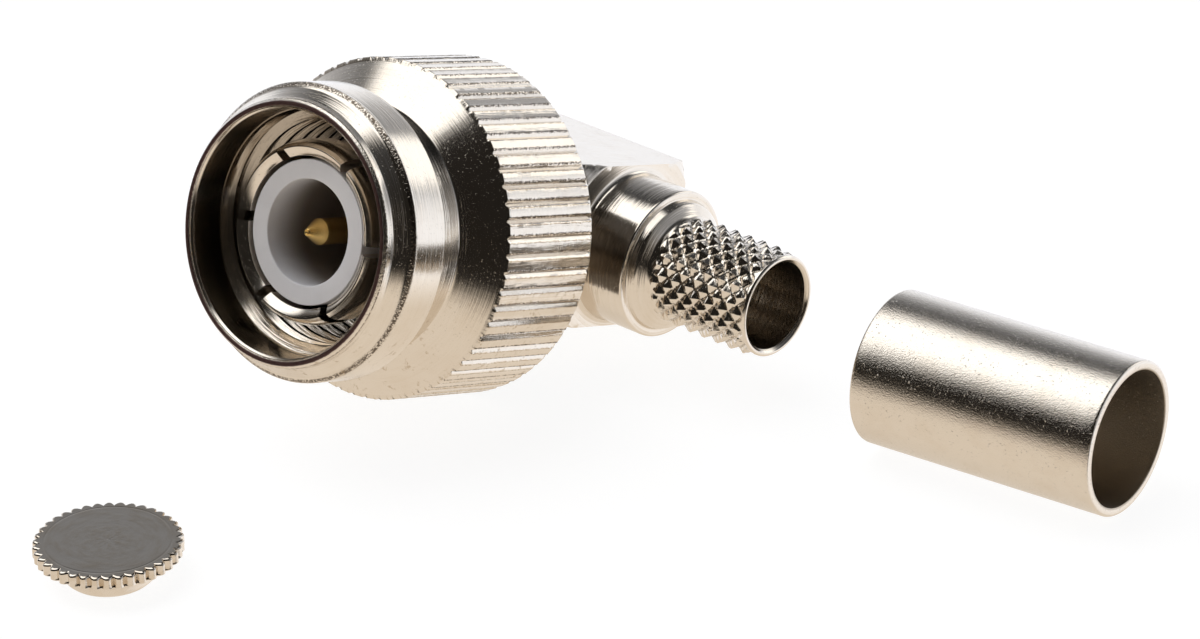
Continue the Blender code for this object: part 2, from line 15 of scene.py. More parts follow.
import bmesh
import bpy
import numpy as np
from mathutils import Matrix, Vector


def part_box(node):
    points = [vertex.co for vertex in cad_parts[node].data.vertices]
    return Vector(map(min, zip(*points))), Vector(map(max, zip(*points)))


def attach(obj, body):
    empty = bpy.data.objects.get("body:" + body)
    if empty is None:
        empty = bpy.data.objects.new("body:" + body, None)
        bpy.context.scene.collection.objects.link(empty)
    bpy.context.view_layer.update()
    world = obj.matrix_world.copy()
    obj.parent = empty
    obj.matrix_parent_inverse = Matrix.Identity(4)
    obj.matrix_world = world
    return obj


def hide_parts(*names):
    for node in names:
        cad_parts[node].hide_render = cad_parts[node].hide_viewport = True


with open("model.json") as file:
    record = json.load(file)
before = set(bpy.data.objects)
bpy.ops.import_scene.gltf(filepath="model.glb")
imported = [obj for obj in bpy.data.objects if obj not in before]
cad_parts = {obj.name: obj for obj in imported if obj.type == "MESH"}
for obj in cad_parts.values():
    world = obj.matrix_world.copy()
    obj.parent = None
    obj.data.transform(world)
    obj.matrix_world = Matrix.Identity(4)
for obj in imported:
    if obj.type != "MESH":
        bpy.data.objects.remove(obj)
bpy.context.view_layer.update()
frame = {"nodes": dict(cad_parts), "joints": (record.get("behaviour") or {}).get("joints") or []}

MM = 0.001
SEED = 7
PLUG_BODY = "plug"
NUT_BODY = "nut"
# Where a solid's end face stops, before triangles close it to one point on the axis
NEAR_AXIS = 0.05
Array = np.ndarray
Corner = tuple[float, float, float]
Colour = tuple[float, float, float]
Direction = tuple[float, float, float]
Window = tuple[float, float, float, float]
log = logging.getLogger("coaxial_plug")


class Slot(Enum):
    """The record's material slots."""

    BRIGHT = "bright_nickel"
    TUMBLED = "tumbled_nickel"
    GOLD = "gold_plate"
    WHITE = "white_insulator"
    SILICONE = "silicone"


@dataclass(frozen=True)
class PlugFrame:
    """The plug's own frame: where its front centre is, and which way its three axes point."""

    origin: Array
    stem: Array
    axis: Array
    up: Array

    @classmethod
    def from_joint(cls, joint: dict) -> "PlugFrame":
        """Work the frame out from the nut's hinge.

        The hinge's point is the plug's front centre and its axis is the plug's. The stem is level, so it
        is the cross product of that axis and the vertical.

        Args:
            joint: The record's entry for the nut's hinge.

        Returns:
            The plug's frame, with its origin in metres.
        """
        axis = np.asarray(joint["axis"], float)
        axis = axis / np.linalg.norm(axis)
        stem = np.cross(axis, (0.0, 0.0, 1.0))
        stem = stem / np.linalg.norm(stem)
        return cls(np.asarray(joint["pos_m"], float), stem, axis, np.cross(stem, axis))

    def about_plug(self, station: Array, radius: Array, angle: Array) -> Array:
        """Place cylindrical coordinates about the plug's axis.

        Point = origin + station * axis + radius * (cos(angle) * stem + sin(angle) * up).

        Args:
            station: Distances behind the plug's front.
            radius: Distances from the axis.
            angle: Angles from the stem's direction towards up.

        Returns:
            Points in metres, with a last axis of three.
        """
        return self.place(radius * np.cos(angle), station, radius * np.sin(angle))

    def about_stem(self, centre: float, station: Array, radius: Array, angle: Array) -> Array:
        """Place cylindrical coordinates about the stem's axis.

        Args:
            centre: The stem's distance behind the plug's front.
            station: Distances from the plug's axis along the stem.
            radius: Distances from the stem's axis.
            angle: Angles from the plug's rear towards up.

        Returns:
            Points in metres, with a last axis of three.
        """
        return self.place(station, centre + radius * np.cos(angle), radius * np.sin(angle))

    def place(self, x: Array, y: Array, z: Array) -> Array:
        """Turn the plug's own coordinates, in millimetres, into points in metres."""
        x, y, z = np.broadcast_arrays(x, y, z)
        offset = x[..., None] * self.stem + y[..., None] * self.axis + z[..., None] * self.up
        return self.origin + offset * MM


def rounded_path(corners: list[Corner], closed: bool = False, samples: int = 5) -> Array:
    """Round a profile's corners.

    Each corner P becomes the curve (1-t)^2 A + 2t(1-t) P + t^2 B, where A and B lie on its two sides at
    the tangent length of a fillet, and t runs from 0 to 1.

    Args:
        corners: Station, radius and fillet of each corner.
        closed: Whether the last corner joins the first.
        samples: Points on each rounded corner.

    Returns:
        An array of (station, radius) points without repeats.
    """
    table = np.asarray(corners, float)
    points, fillets = table[:, :2], table[:, 2].copy()
    if not closed:
        fillets[[0, -1]] = 0.0
    back = np.roll(points, 1, axis=0) - points
    ahead = np.roll(points, -1, axis=0) - points
    back_length = np.linalg.norm(back, axis=1)
    ahead_length = np.linalg.norm(ahead, axis=1)
    back = back / back_length[:, None]
    ahead = ahead / ahead_length[:, None]
    half = np.arccos(np.clip((back * ahead).sum(axis=1), -1.0, 1.0)) / 2
    tangent = np.minimum(fillets / np.tan(half), 0.48 * np.minimum(back_length, ahead_length))
    t = np.linspace(0.0, 1.0, samples)[None, :, None]
    start = (points + back * tangent[:, None])[:, None, :]
    end = (points + ahead * tangent[:, None])[:, None, :]
    curve = (1 - t) ** 2 * start + 2 * t * (1 - t) * points[:, None, :] + t**2 * end
    path = curve.reshape(-1, 2)
    fresh = np.linalg.norm(np.diff(path, axis=0, prepend=path[-1:]), axis=1) > 1e-6
    fresh[0] = fresh[0] or not closed
    return path[fresh]


def densified(path: Array, step: Callable[[Array], Array] | float) -> Array:
    """Split a path's long runs into equal pieces.

    Args:
        path: Points of (station, radius).
        step: The longest piece, as a number or as a function of the pieces' middle stations.

    Returns:
        The path with points added along its runs.
    """
    runs = np.diff(path, axis=0)
    middles = (path[1:, 0] + path[:-1, 0]) / 2
    longest = step(middles) if callable(step) else np.full(len(runs), step)
    counts = np.maximum(np.ceil(np.linalg.norm(runs, axis=1) / longest - 1e-6), 1).astype(int)
    which = np.repeat(np.arange(len(runs)), counts)
    first = np.cumsum(counts) - counts
    share = (np.arange(counts.sum()) - first[which]) / counts[which]
    return np.vstack([path[which] + share[:, None] * runs[which], path[-1:]])


def placed(x: Array, y: Array, z: Array) -> Array:
    """Return points in metres from coordinates in millimetres that broadcast together."""
    return np.stack(np.broadcast_arrays(x, y, z), axis=-1) * MM


def full_turn(count: int) -> Array:
    """Return evenly spread angles over a full turn."""
    return np.arange(count) * (math.tau / count)


def triangle_wave(phase: Array) -> Array:
    """Return the distance of each phase from the nearest whole number, doubled: 0 at wholes, 1 halfway."""
    return 2 * np.abs(phase - np.round(phase))


def smooth_step(low: float, high: float, value: Array) -> Array:
    """Return 0 below low, 1 above high, and 3t^2 - 2t^3 between them."""
    t = np.clip((value - low) / (high - low), 0.0, 1.0)
    return t * t * (3 - 2 * t)


class Skin:
    """A mesh in the making: blocks of points and the faces between them."""

    def __init__(self) -> None:
        """Start with no points and no faces."""
        self.blocks: list[Array] = []
        self.faces: list[Array] = []
        self.total = 0

    def add_points(self, points: Array) -> Array:
        """Add points and return their numbers, in the shape of the points' own grid."""
        shape = points.shape[:-1]
        numbers = self.total + np.arange(int(np.prod(shape))).reshape(shape)
        self.blocks.append(points.reshape(-1, 3))
        self.total += numbers.size
        return numbers

    def add_faces(self, numbers: Array) -> None:
        """Add faces, given as rows of point numbers."""
        self.faces.append(np.asarray(numbers, np.int64))

    def weave(self, grid: Array, loop_rows: bool = False, keep: Array | None = None) -> None:
        """Add a quad for every cell of a grid whose columns close into rings.

        Args:
            grid: Point numbers, rows by columns.
            loop_rows: Whether the last row joins the first.
            keep: Which cells to fill; all of them if left out.
        """
        right = np.roll(grid, -1, axis=1)
        below = np.roll(grid, -1, axis=0)
        diagonal = np.roll(right, -1, axis=0)
        cells = np.stack([grid, right, diagonal, below], axis=-1)
        if not loop_rows:
            cells = cells[:-1]
        self.add_faces(cells.reshape(-1, 4) if keep is None else cells[keep])

    def close(self, ring: Array, point: Array) -> None:
        """Close a ring of points with triangles to one point."""
        tip = self.add_points(np.asarray(point, float).reshape(1, 3))[0]
        self.add_faces(np.stack([ring, np.roll(ring, -1), np.full_like(ring, tip)], axis=-1))

    def bridge(self, fine: Array, coarse: Array) -> None:
        """Join a fine ring to a coarse one that has a point for every so many of the fine ring's."""
        ratio = len(fine) // len(coarse)
        picks = (np.arange(len(coarse))[:, None] * ratio + np.arange(ratio + 1)[None, :]) % len(fine)
        self.add_faces(np.hstack([fine[picks], np.roll(coarse, -1)[:, None], coarse[:, None]]))

    def to_object(self, name: str, sharp: float = 38.0) -> bpy.types.Object:
        """Make the mesh object.

        Args:
            name: The object's name.
            sharp: The angle, in degrees, past which an edge is shaded sharp.

        Returns:
            The new object, linked to the scene, with its faces pointing out.
        """
        mesh = bpy.data.meshes.new(name)
        points = np.vstack(self.blocks)
        loops = np.concatenate([block.ravel() for block in self.faces])
        sizes = np.concatenate([np.full(len(block), block.shape[1]) for block in self.faces])
        mesh.vertices.add(len(points))
        mesh.vertices.foreach_set("co", points.astype(np.float32).ravel())
        mesh.loops.add(len(loops))
        mesh.loops.foreach_set("vertex_index", loops.astype(np.int32))
        mesh.polygons.add(len(sizes))
        mesh.polygons.foreach_set("loop_start", (np.cumsum(sizes) - sizes).astype(np.int32))
        mesh.update(calc_edges=True)
        mesh.validate()
        shape = bmesh.new()
        shape.from_mesh(mesh)
        bmesh.ops.recalc_face_normals(shape, faces=shape.faces)
        shape.to_mesh(mesh)
        shape.free()
        mesh.shade_smooth()
        mesh.set_sharp_from_angle(angle=math.radians(sharp))
        made = bpy.data.objects.new(name, mesh)
        bpy.context.scene.collection.objects.link(made)
        return made


def cut_away(piece: bpy.types.Object, cutter: bpy.types.Object, sharp: float = 38.0) -> None:
    """Cut one mesh out of another and remove the cutter.

    Args:
        piece: The mesh that is cut.
        cutter: The closed mesh whose space is removed.
        sharp: The angle, in degrees, past which an edge is shaded sharp.
    """
    boolean = piece.modifiers.new("cut", "BOOLEAN")
    boolean.object = cutter
    boolean.operation = "DIFFERENCE"
    boolean.solver = "EXACT"
    depsgraph = bpy.context.evaluated_depsgraph_get()
    mesh = bpy.data.meshes.new_from_object(piece.evaluated_get(depsgraph))
    piece.modifiers.clear()
    piece.data = mesh
    bpy.data.objects.remove(cutter, do_unlink=True)
    mesh.shade_smooth()
    mesh.set_sharp_from_angle(angle=math.radians(sharp))


class Value:
    """One output of a shader node, with the operators that shader maths here needs."""

    def __init__(self, graph: "Graph", socket: bpy.types.NodeSocket) -> None:
        """Wrap a socket of a graph."""
        self.graph = graph
        self.socket = socket

    def math(self, operation: str, *others: "Value | float") -> "Value":
        """Add a Math node with this value first."""
        inputs = dict(enumerate((self, *others)))
        return self.graph.node("ShaderNodeMath", inputs, operation=operation)

    def __add__(self, other: "Value | float") -> "Value":
        """Return the sum."""
        return self.math("ADD", other)

    __radd__ = __add__

    def __sub__(self, other: "Value | float") -> "Value":
        """Return the difference."""
        return self.math("SUBTRACT", other)

    def __rsub__(self, other: float) -> "Value":
        """Return a number less this value."""
        return self.graph.node("ShaderNodeMath", {0: other, 1: self}, operation="SUBTRACT")

    def __mul__(self, other: "Value | float") -> "Value":
        """Return the product."""
        return self.math("MULTIPLY", other)

    __rmul__ = __mul__

    def __truediv__(self, other: "Value | float") -> "Value":
        """Return the quotient."""
        return self.math("DIVIDE", other)

    def between(self, low: float, high: float) -> "Value":
        """Return 0 at or below low and 1 at or above high, smooth between them."""
        inputs = {"Value": self, "From Min": low, "From Max": high, "To Min": 0.0, "To Max": 1.0}
        return self.graph.node("ShaderNodeMapRange", inputs, interpolation_type="SMOOTHSTEP")

    def within(self, window: Window) -> "Value":
        """Return 1 inside a window and 0 outside it.

        Args:
            window: Where the rise starts and ends, then where the fall starts and ends.
        """
        return self.between(*window[:2]) * (1 - self.between(*window[2:]))


class Graph:
    """A node tree that nodes are added to."""

    def __init__(self, tree: bpy.types.NodeTree) -> None:
        """Empty the tree."""
        self.tree = tree
        tree.nodes.clear()

    def node(
        self, kind: str, inputs: dict | None = None, output: int | str = 0, **settings: object
    ) -> Value:
        """Add a node.

        Args:
            kind: The node's type.
            inputs: Values or links by input name or number.
            output: The output that is returned.
            **settings: The node's own settings, set first.

        Returns:
            The chosen output, or nothing from a node that has none.
        """
        made = self.tree.nodes.new(kind)
        for key, value in settings.items():
            setattr(made, key, value)
        for key, value in (inputs or {}).items():
            if isinstance(value, Value):
                self.tree.links.new(value.socket, made.inputs[key])
            else:
                made.inputs[key].default_value = value
        return Value(self, made.outputs[output]) if made.outputs else None

    def mix(self, factor: "Value | float", first: object, second: object) -> Value:
        """Mix two colours."""
        inputs = {0: factor, 6: first, 7: second}
        return self.node("ShaderNodeMix", inputs, output=2, data_type="RGBA")

    def vector(self, operation: str, *others: object, output: int | str = 0) -> Value:
        """Add a Vector Math node."""
        inputs = dict(enumerate(others))
        return self.node("ShaderNodeVectorMath", inputs, output=output, operation=operation)

    def place_mm(self, origin: Array) -> Value:
        """Return the shaded point in millimetres from an origin in metres."""
        point = self.node("ShaderNodeTexCoord", output="Object")
        moved = self.vector("SUBTRACT", point, tuple(origin))
        return self.node("ShaderNodeVectorMath", {0: moved, "Scale": 1 / MM}, operation="SCALE")

    def noise(self, place: Value, scale: float, detail: float = 2.0, roughness: float = 0.5) -> Value:
        """Return a noise from 0 to 1 at so many cells a millimetre."""
        inputs = {"Vector": place, "Scale": scale, "Detail": detail, "Roughness": roughness}
        return self.node("ShaderNodeTexNoise", inputs)


def new_material(name: str) -> tuple[bpy.types.Material, Graph]:
    """Make a material and return it with its emptied node tree."""
    made = bpy.data.materials.new(name)
    made.use_nodes = True
    return made, Graph(made.node_tree)


def rgba(colour: Colour) -> tuple[float, float, float, float]:
    """Return a colour with full alpha."""
    return (*colour, 1.0)


@dataclass(frozen=True)
class TurnedPoint:
    """The shaded point as a lathe sees it, in millimetres."""

    axis: Direction
    point: Value
    station: Value
    distance: Value
    bearing: Value

    def turn(self, across: Array) -> Value:
        """Return the bearing's angle from a direction square to the axis, in radians."""
        graph = self.point.graph
        third = tuple(np.cross(across, self.axis))
        rise = graph.vector("DOT_PRODUCT", self.bearing, third, output="Value")
        run = graph.vector("DOT_PRODUCT", self.bearing, tuple(across), output="Value")
        return rise.math("ARCTAN2", run)

    def streaks(self, around: float, along: float, detail: float = 3.0) -> Value:
        """Return a noise from 0 to 1, drawn out round the axis or along it.

        It is a noise in four dimensions: bearing * around + axis * station * along in the first three,
        and distance * along in the fourth.
        """
        graph = self.point.graph
        turned = graph.node("ShaderNodeVectorMath", {0: self.bearing, "Scale": around}, operation="SCALE")
        moved = graph.node(
            "ShaderNodeVectorMath", {0: self.axis, "Scale": self.station * along}, operation="SCALE"
        )
        inputs = {
            "Vector": graph.vector("ADD", turned, moved), "W": self.distance * along,
            "Scale": 1.0, "Detail": detail,
        }
        return graph.node("ShaderNodeTexNoise", inputs, noise_dimensions="4D")


@dataclass(frozen=True)
class Lathe:
    """The axis about which a surface was turned, for its tool marks."""

    origin: tuple[float, float, float]
    axis: Direction

    def locate(self, graph: Graph) -> TurnedPoint:
        """Return the shaded point in this lathe's coordinates.

        Station = (P - O) . A, distance = |P - O - station * A|, and the bearing is the unit vector of
        that offset.
        """
        point = graph.place_mm(np.asarray(self.origin))
        station = graph.vector("DOT_PRODUCT", point, self.axis, output="Value")
        foot = graph.node("ShaderNodeVectorMath", {0: self.axis, "Scale": station}, operation="SCALE")
        offset = graph.vector("SUBTRACT", point, foot)
        distance = graph.vector("LENGTH", offset, output="Value")
        return TurnedPoint(self.axis, point, station, distance, graph.vector("NORMALIZE", offset))


@dataclass
class Look:
    """A surface's colour, roughness and height in the making."""

    colour: Value
    rough: Value
    height: Value

    def wear(self, mask: Value, colour: Colour, rough: float) -> None:
        """Where the mask is 1, take another colour and add to the roughness."""
        self.colour = self.colour.graph.mix(mask, self.colour, rgba(colour))
        self.rough = self.rough + mask * rough

    def surface(self, metallic: float, **settings: float) -> None:
        """Shade the material with this look.

        Args:
            metallic: 1 for metal and 0 for anything else.
            **settings: Other inputs of the shader, by name.
        """
        graph = self.colour.graph
        bump = graph.node(
            "ShaderNodeBump", {"Height": self.height, "Distance": MM, "Strength": 1.0}, output="Normal"
        )
        inputs = {
            "Base Color": self.colour, "Roughness": self.rough, "Metallic": metallic, "Normal": bump,
            **settings,
        }
        shader = graph.node("ShaderNodeBsdfPrincipled", inputs)
        graph.node("ShaderNodeOutputMaterial", {"Surface": shader})


@dataclass(frozen=True)
class NickelFinish:
    """Bright nickel plate over turned brass, with tool marks, fine grain, pits and warm stains."""

    name: str
    lathe: Lathe
    colour: Colour = (0.78, 0.72, 0.64)
    stain: Colour = (0.62, 0.51, 0.38)
    roughness: float = 0.08
    roughness_spread: float = 0.10
    ring_scale: float = 13.0
    ring_round: float = 2.6
    ring_height: float = 0.0110
    ring_tint: float = 0.10
    grain_scale: float = 18.0
    grain_height: float = 0.0008
    pit_scale: float = 13.0
    pit_height: float = 0.0040
    bore_radius: float = 0.0
    bore_from: float = -99.0
    # Painted shade for the bore, where light hardly reaches
    bore_shade: Colour = (0.62, 0.56, 0.48)
    bore_roughness: float = 0.10

    def material(self) -> bpy.types.Material:
        """Make the material.

        Tool marks are a noise drawn out round the axis, deeper where a slow noise says so. Grain is a
        fine noise in space and pits are the peaks of a coarser one. All go to the bump, and the slow
        noise also gives the stains.
        """
        made, graph = new_material(self.name)
        at = self.lathe.locate(graph)
        rings = at.streaks(self.ring_round, self.ring_scale)
        grain = graph.noise(at.point, self.grain_scale, 3.0, 0.6)
        slow = graph.noise(at.point, 0.55, 3.0, 0.6)
        pits = graph.noise(at.point, self.pit_scale, 2.0, 0.55).between(0.66, 0.76)
        height = (rings - 0.5) * (slow * 1.6 + 0.2) * self.ring_height + grain * self.grain_height
        height = height + pits * self.pit_height
        stained = slow.between(0.42, 0.72) * 0.16 + rings.between(0.35, 0.75) * self.ring_tint
        colour = graph.mix(stained, rgba(self.colour), rgba(self.stain))
        rough = self.roughness + (grain * 0.5 + rings * 0.5) * self.roughness_spread
        look = Look(colour, rough, height)
        self.add_details(graph, at, look)
        look.surface(metallic=1.0)
        return made

    def add_details(self, graph: Graph, at: TurnedPoint, look: Look) -> None:
        """Darken the bore, where light hardly reaches."""
        if self.bore_radius:
            # Painted shade in the bore, past its radius and station
            inside = 1 - at.distance.between(self.bore_radius, self.bore_radius + 0.08)
            inside = inside * at.station.between(self.bore_from, self.bore_from + 0.2)
            look.wear(inside, self.bore_shade, self.bore_roughness)


@dataclass(frozen=True)
class ElbowFinish(NickelFinish):
    """The elbow's nickel, with darker, rougher edges along the bar."""

    up: Direction = (0.0, 0.0, 1.0)
    along: Direction = (0.0, 1.0, 0.0)
    half_height: float = 3.93
    half_depth: float = 3.825
    middle: float = -0.105
    # A darker colour for the bar's long edges
    edge_dark: Colour = (0.42, 0.38, 0.33)
    edge_wide: float = 0.12
    edge_core: float = 0.04

    def add_details(self, graph: Graph, at: TurnedPoint, look: Look) -> None:
        """Paint shade into the bore, and darken and roughen the bar where both its height and its depth
        reach their ends.
        """
        super().add_details(graph, at, look)
        high = graph.vector("DOT_PRODUCT", at.point, self.up, output="Value").math("ABSOLUTE")
        deep = graph.vector("DOT_PRODUCT", at.point, self.along, output="Value") - self.middle
        deep = deep.math("ABSOLUTE")
        edge = high.between(self.half_height - self.edge_wide, self.half_height - self.edge_core)
        edge = edge * deep.between(self.half_depth - self.edge_wide, self.half_depth - self.edge_core)
        look.wear(edge * 0.8, self.edge_dark, 0.10)


@dataclass(frozen=True)
class NutFinish(NickelFinish):
    """The nut's nickel: worn lip and band edges, rolling marks on the grip, painted shade lines along the
    grooves and edges, and painted shade inside, on the neck and on a rougher rear face.
    """

    lip_worn: Colour = (0.10, 0.058, 0.055)
    # Painted shade on top of the neck
    neck_shade: Colour = (0.13, 0.12, 0.11)
    # Painted shade inside the mouth, where light hardly reaches
    inside: Colour = (0.45, 0.40, 0.34)
    # Painted shade on the rear face
    rear_shade: Colour = (0.11, 0.093, 0.075)
    # Brown for the real specks underneath, and painted shade for the line at each groove's lower edge
    speck_and_shade: Colour = (0.40, 0.30, 0.19)
    # Painted shade for the dark lines at the grooves' upper edges, the lip's bevel and the band's front
    # edge
    line_shade: Colour = (0.08, 0.055, 0.035)
    grooves: int = 61
    groove_turn: float = -90.0
    grip_radius: float = 7.85
    outer_radius: float = 5.70
    mouth: tuple[float, float] = (5.625, 5.65)
    mouth_light: tuple[float, float] = (-4.6, -2.6)
    grip: Window = (6.42, 6.56, 12.30, 12.36)
    neck: Window = (3.30, 3.40, 5.18, 5.30)
    neck_light: tuple[float, float] = (1.8, 2.8)
    lip_edge: tuple[float, float] = (0.10, 0.30)
    band_edge: Window = (1.12, 1.20, 1.30, 1.42)
    lip_line: Window = (0.13, 0.15, 0.18, 0.21)
    band_line: Window = (1.15, 1.20, 1.28, 1.32)
    upper_line: Window = (0.11, 0.13, 0.21, 0.24)
    lower_line: Window = (-0.23, -0.20, -0.16, -0.13)
    underside: tuple[float, float] = (-5.5, -2.0)
    rear_face: tuple[float, float] = (12.55, 12.70)
    rim_depth: tuple[float, float] = (0.02, 0.06)

    def add_details(self, graph: Graph, at: TurnedPoint, look: Look) -> None:
        """Add what only the nut has.

        On the grip the marks run along the axis, and pits crowd the edges of lip and band. The inside has
        painted shade, but for its lowest part, which the light reaches, and the neck has painted shade on
        top.
        A ragged painted shade line follows the upper edge of every groove and a brown painted shade line
        the lower, found from the angle's signed distance to the nearest groove. Broken painted shade lines
        also follow the lip's bevel and the band's front edge. Brown specks lie underneath, and the rear
        face is rougher, with painted shade. The front face within a hair of station 0 is worn to a rough
        reddish ring.
        """
        station = at.station
        outside = at.distance.between(self.outer_radius, self.outer_radius + 0.04)
        on_grip = outside * station.within(self.grip)
        rolled = at.streaks(70.0, 0.7, 4.0)
        crushed = graph.noise(at.point, 7.0, 3.0, 0.65)
        edges = (1 - station.between(*self.lip_edge) + station.within(self.band_edge)) * outside
        fine = graph.noise(at.point, 12.0, 2.0, 0.6)
        height = graph.node("ShaderNodeSeparateXYZ", {0: at.point}, output="Z")
        look.height = look.height * (1 - on_grip * 0.7) + rolled * on_grip * 0.014
        look.height = look.height + (crushed + fine) * (edges * 0.020 + on_grip * 0.002)
        # Painted shade inside the mouth, all but its lowest part
        shaded = (1 - at.distance.between(*self.mouth)) * height.between(*self.mouth_light)
        look.wear(shaded, self.inside, 0.04)
        # Painted shade on the neck's top
        on_neck = outside * station.within(self.neck)
        look.wear(on_neck * height.between(*self.neck_light), self.neck_shade, 0.08)
        turn = at.turn(np.cross(self.lathe.axis, (0.0, 0.0, 1.0))) / math.tau + self.groove_turn / 360
        pitch = math.tau * self.grip_radius / self.grooves
        off = ((turn * self.grooves + 0.5).math("FRACT") - 0.5) * pitch
        off = off + (crushed - 0.5) * 0.16
        # Painted shade lines along the grooves' edges, the lip's bevel and the band's front edge
        dotted = fine.between(0.40, 0.52)
        upper = off.within(self.upper_line) * on_grip
        lower = off.within(self.lower_line) * on_grip
        front = (station.within(self.band_line) + station.within(self.lip_line)) * outside
        look.wear((upper + front) * dotted * 0.9, self.line_shade, 0.10)
        look.wear(lower * dotted * 0.7, self.speck_and_shade, 0.10)
        specks = graph.noise(at.point, 2.4, 4.0, 0.7).between(0.58, 0.68)
        below = 1 - height.between(*self.underside)
        look.wear(specks * below * outside * 0.5, self.speck_and_shade, 0.05)
        # Painted shade on the rear face, which is also rougher
        look.wear(station.between(*self.rear_face), self.rear_shade, 0.25)
        uneven = station + (crushed - 0.5) * 0.06
        on_rim = at.distance.between(self.outer_radius, self.outer_radius + 0.02)
        rim = (1 - uneven.between(*self.rim_depth)) * on_rim
        look.wear(rim, self.lip_worn, 0.30)
        look.height = look.height + crushed * rim * 0.02


@dataclass(frozen=True)
class SoftFinish:
    """A plain insulator, rubber or plated finish with a fine grain."""

    name: str
    lathe: Lathe
    colour: Colour
    shade: Colour
    roughness: float
    metallic: float = 0.0
    grain_scale: float = 6.0
    grain_height: float = 0.002
    ior: float = 1.45

    def material(self) -> bpy.types.Material:
        """Make the material: a slow noise between two colours, and a fine noise for the bump."""
        made, graph = new_material(self.name)
        at = self.lathe.locate(graph)
        slow = graph.noise(at.point, 0.8, 3.0)
        grain = graph.noise(at.point, self.grain_scale, 3.0)
        colour = graph.mix(slow.between(0.35, 0.7), rgba(self.colour), rgba(self.shade))
        look = Look(colour, self.roughness + (grain - 0.5) * 0.12, grain * self.grain_height)
        self.add_details(graph, at, look)
        look.surface(self.metallic, IOR=self.ior)
        return made

    def add_details(self, graph: Graph, at: TurnedPoint, look: Look) -> None:
        """Leave the look as it is."""


@dataclass(frozen=True)
class TubeFinish(SoftFinish):
    """The white tube's finish, with painted shade that deepens down its bore."""

    # Painted shade at the bore's deep end
    deep: Colour = (0.24, 0.205, 0.175)
    bore: float = 2.46
    lit_to: float = 1.75
    dark_from: float = 4.3

    def add_details(self, graph: Graph, at: TurnedPoint, look: Look) -> None:
        """Paint shade into the bore, darker with its depth."""
        inside = 1 - at.distance.between(self.bore - 0.03, self.bore)
        depth = at.station.between(self.lit_to, self.dark_from)
        look.wear(inside * depth, self.deep, 0.0)


class Maker(Protocol):
    """A sub-assembly that builds its own piece."""

    def build(self) -> bpy.types.Object:
        """Build the piece."""


def commission(
    maker: Maker, body: str, node: str, finish: NickelFinish | SoftFinish
) -> None:
    """Build a piece, give it its material, and let it stand for its node on its body.

    Args:
        maker: What builds the piece.
        body: The body that it rides on.
        node: The node that it replaces.
        finish: What makes its material.
    """
    piece = maker.build()
    piece.data.materials.clear()
    piece.data.materials.append(finish.material())
    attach(piece, body)
    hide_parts(node)
    log.info("%s: %d faces, stands for %s", piece.name, len(piece.data.polygons), node)


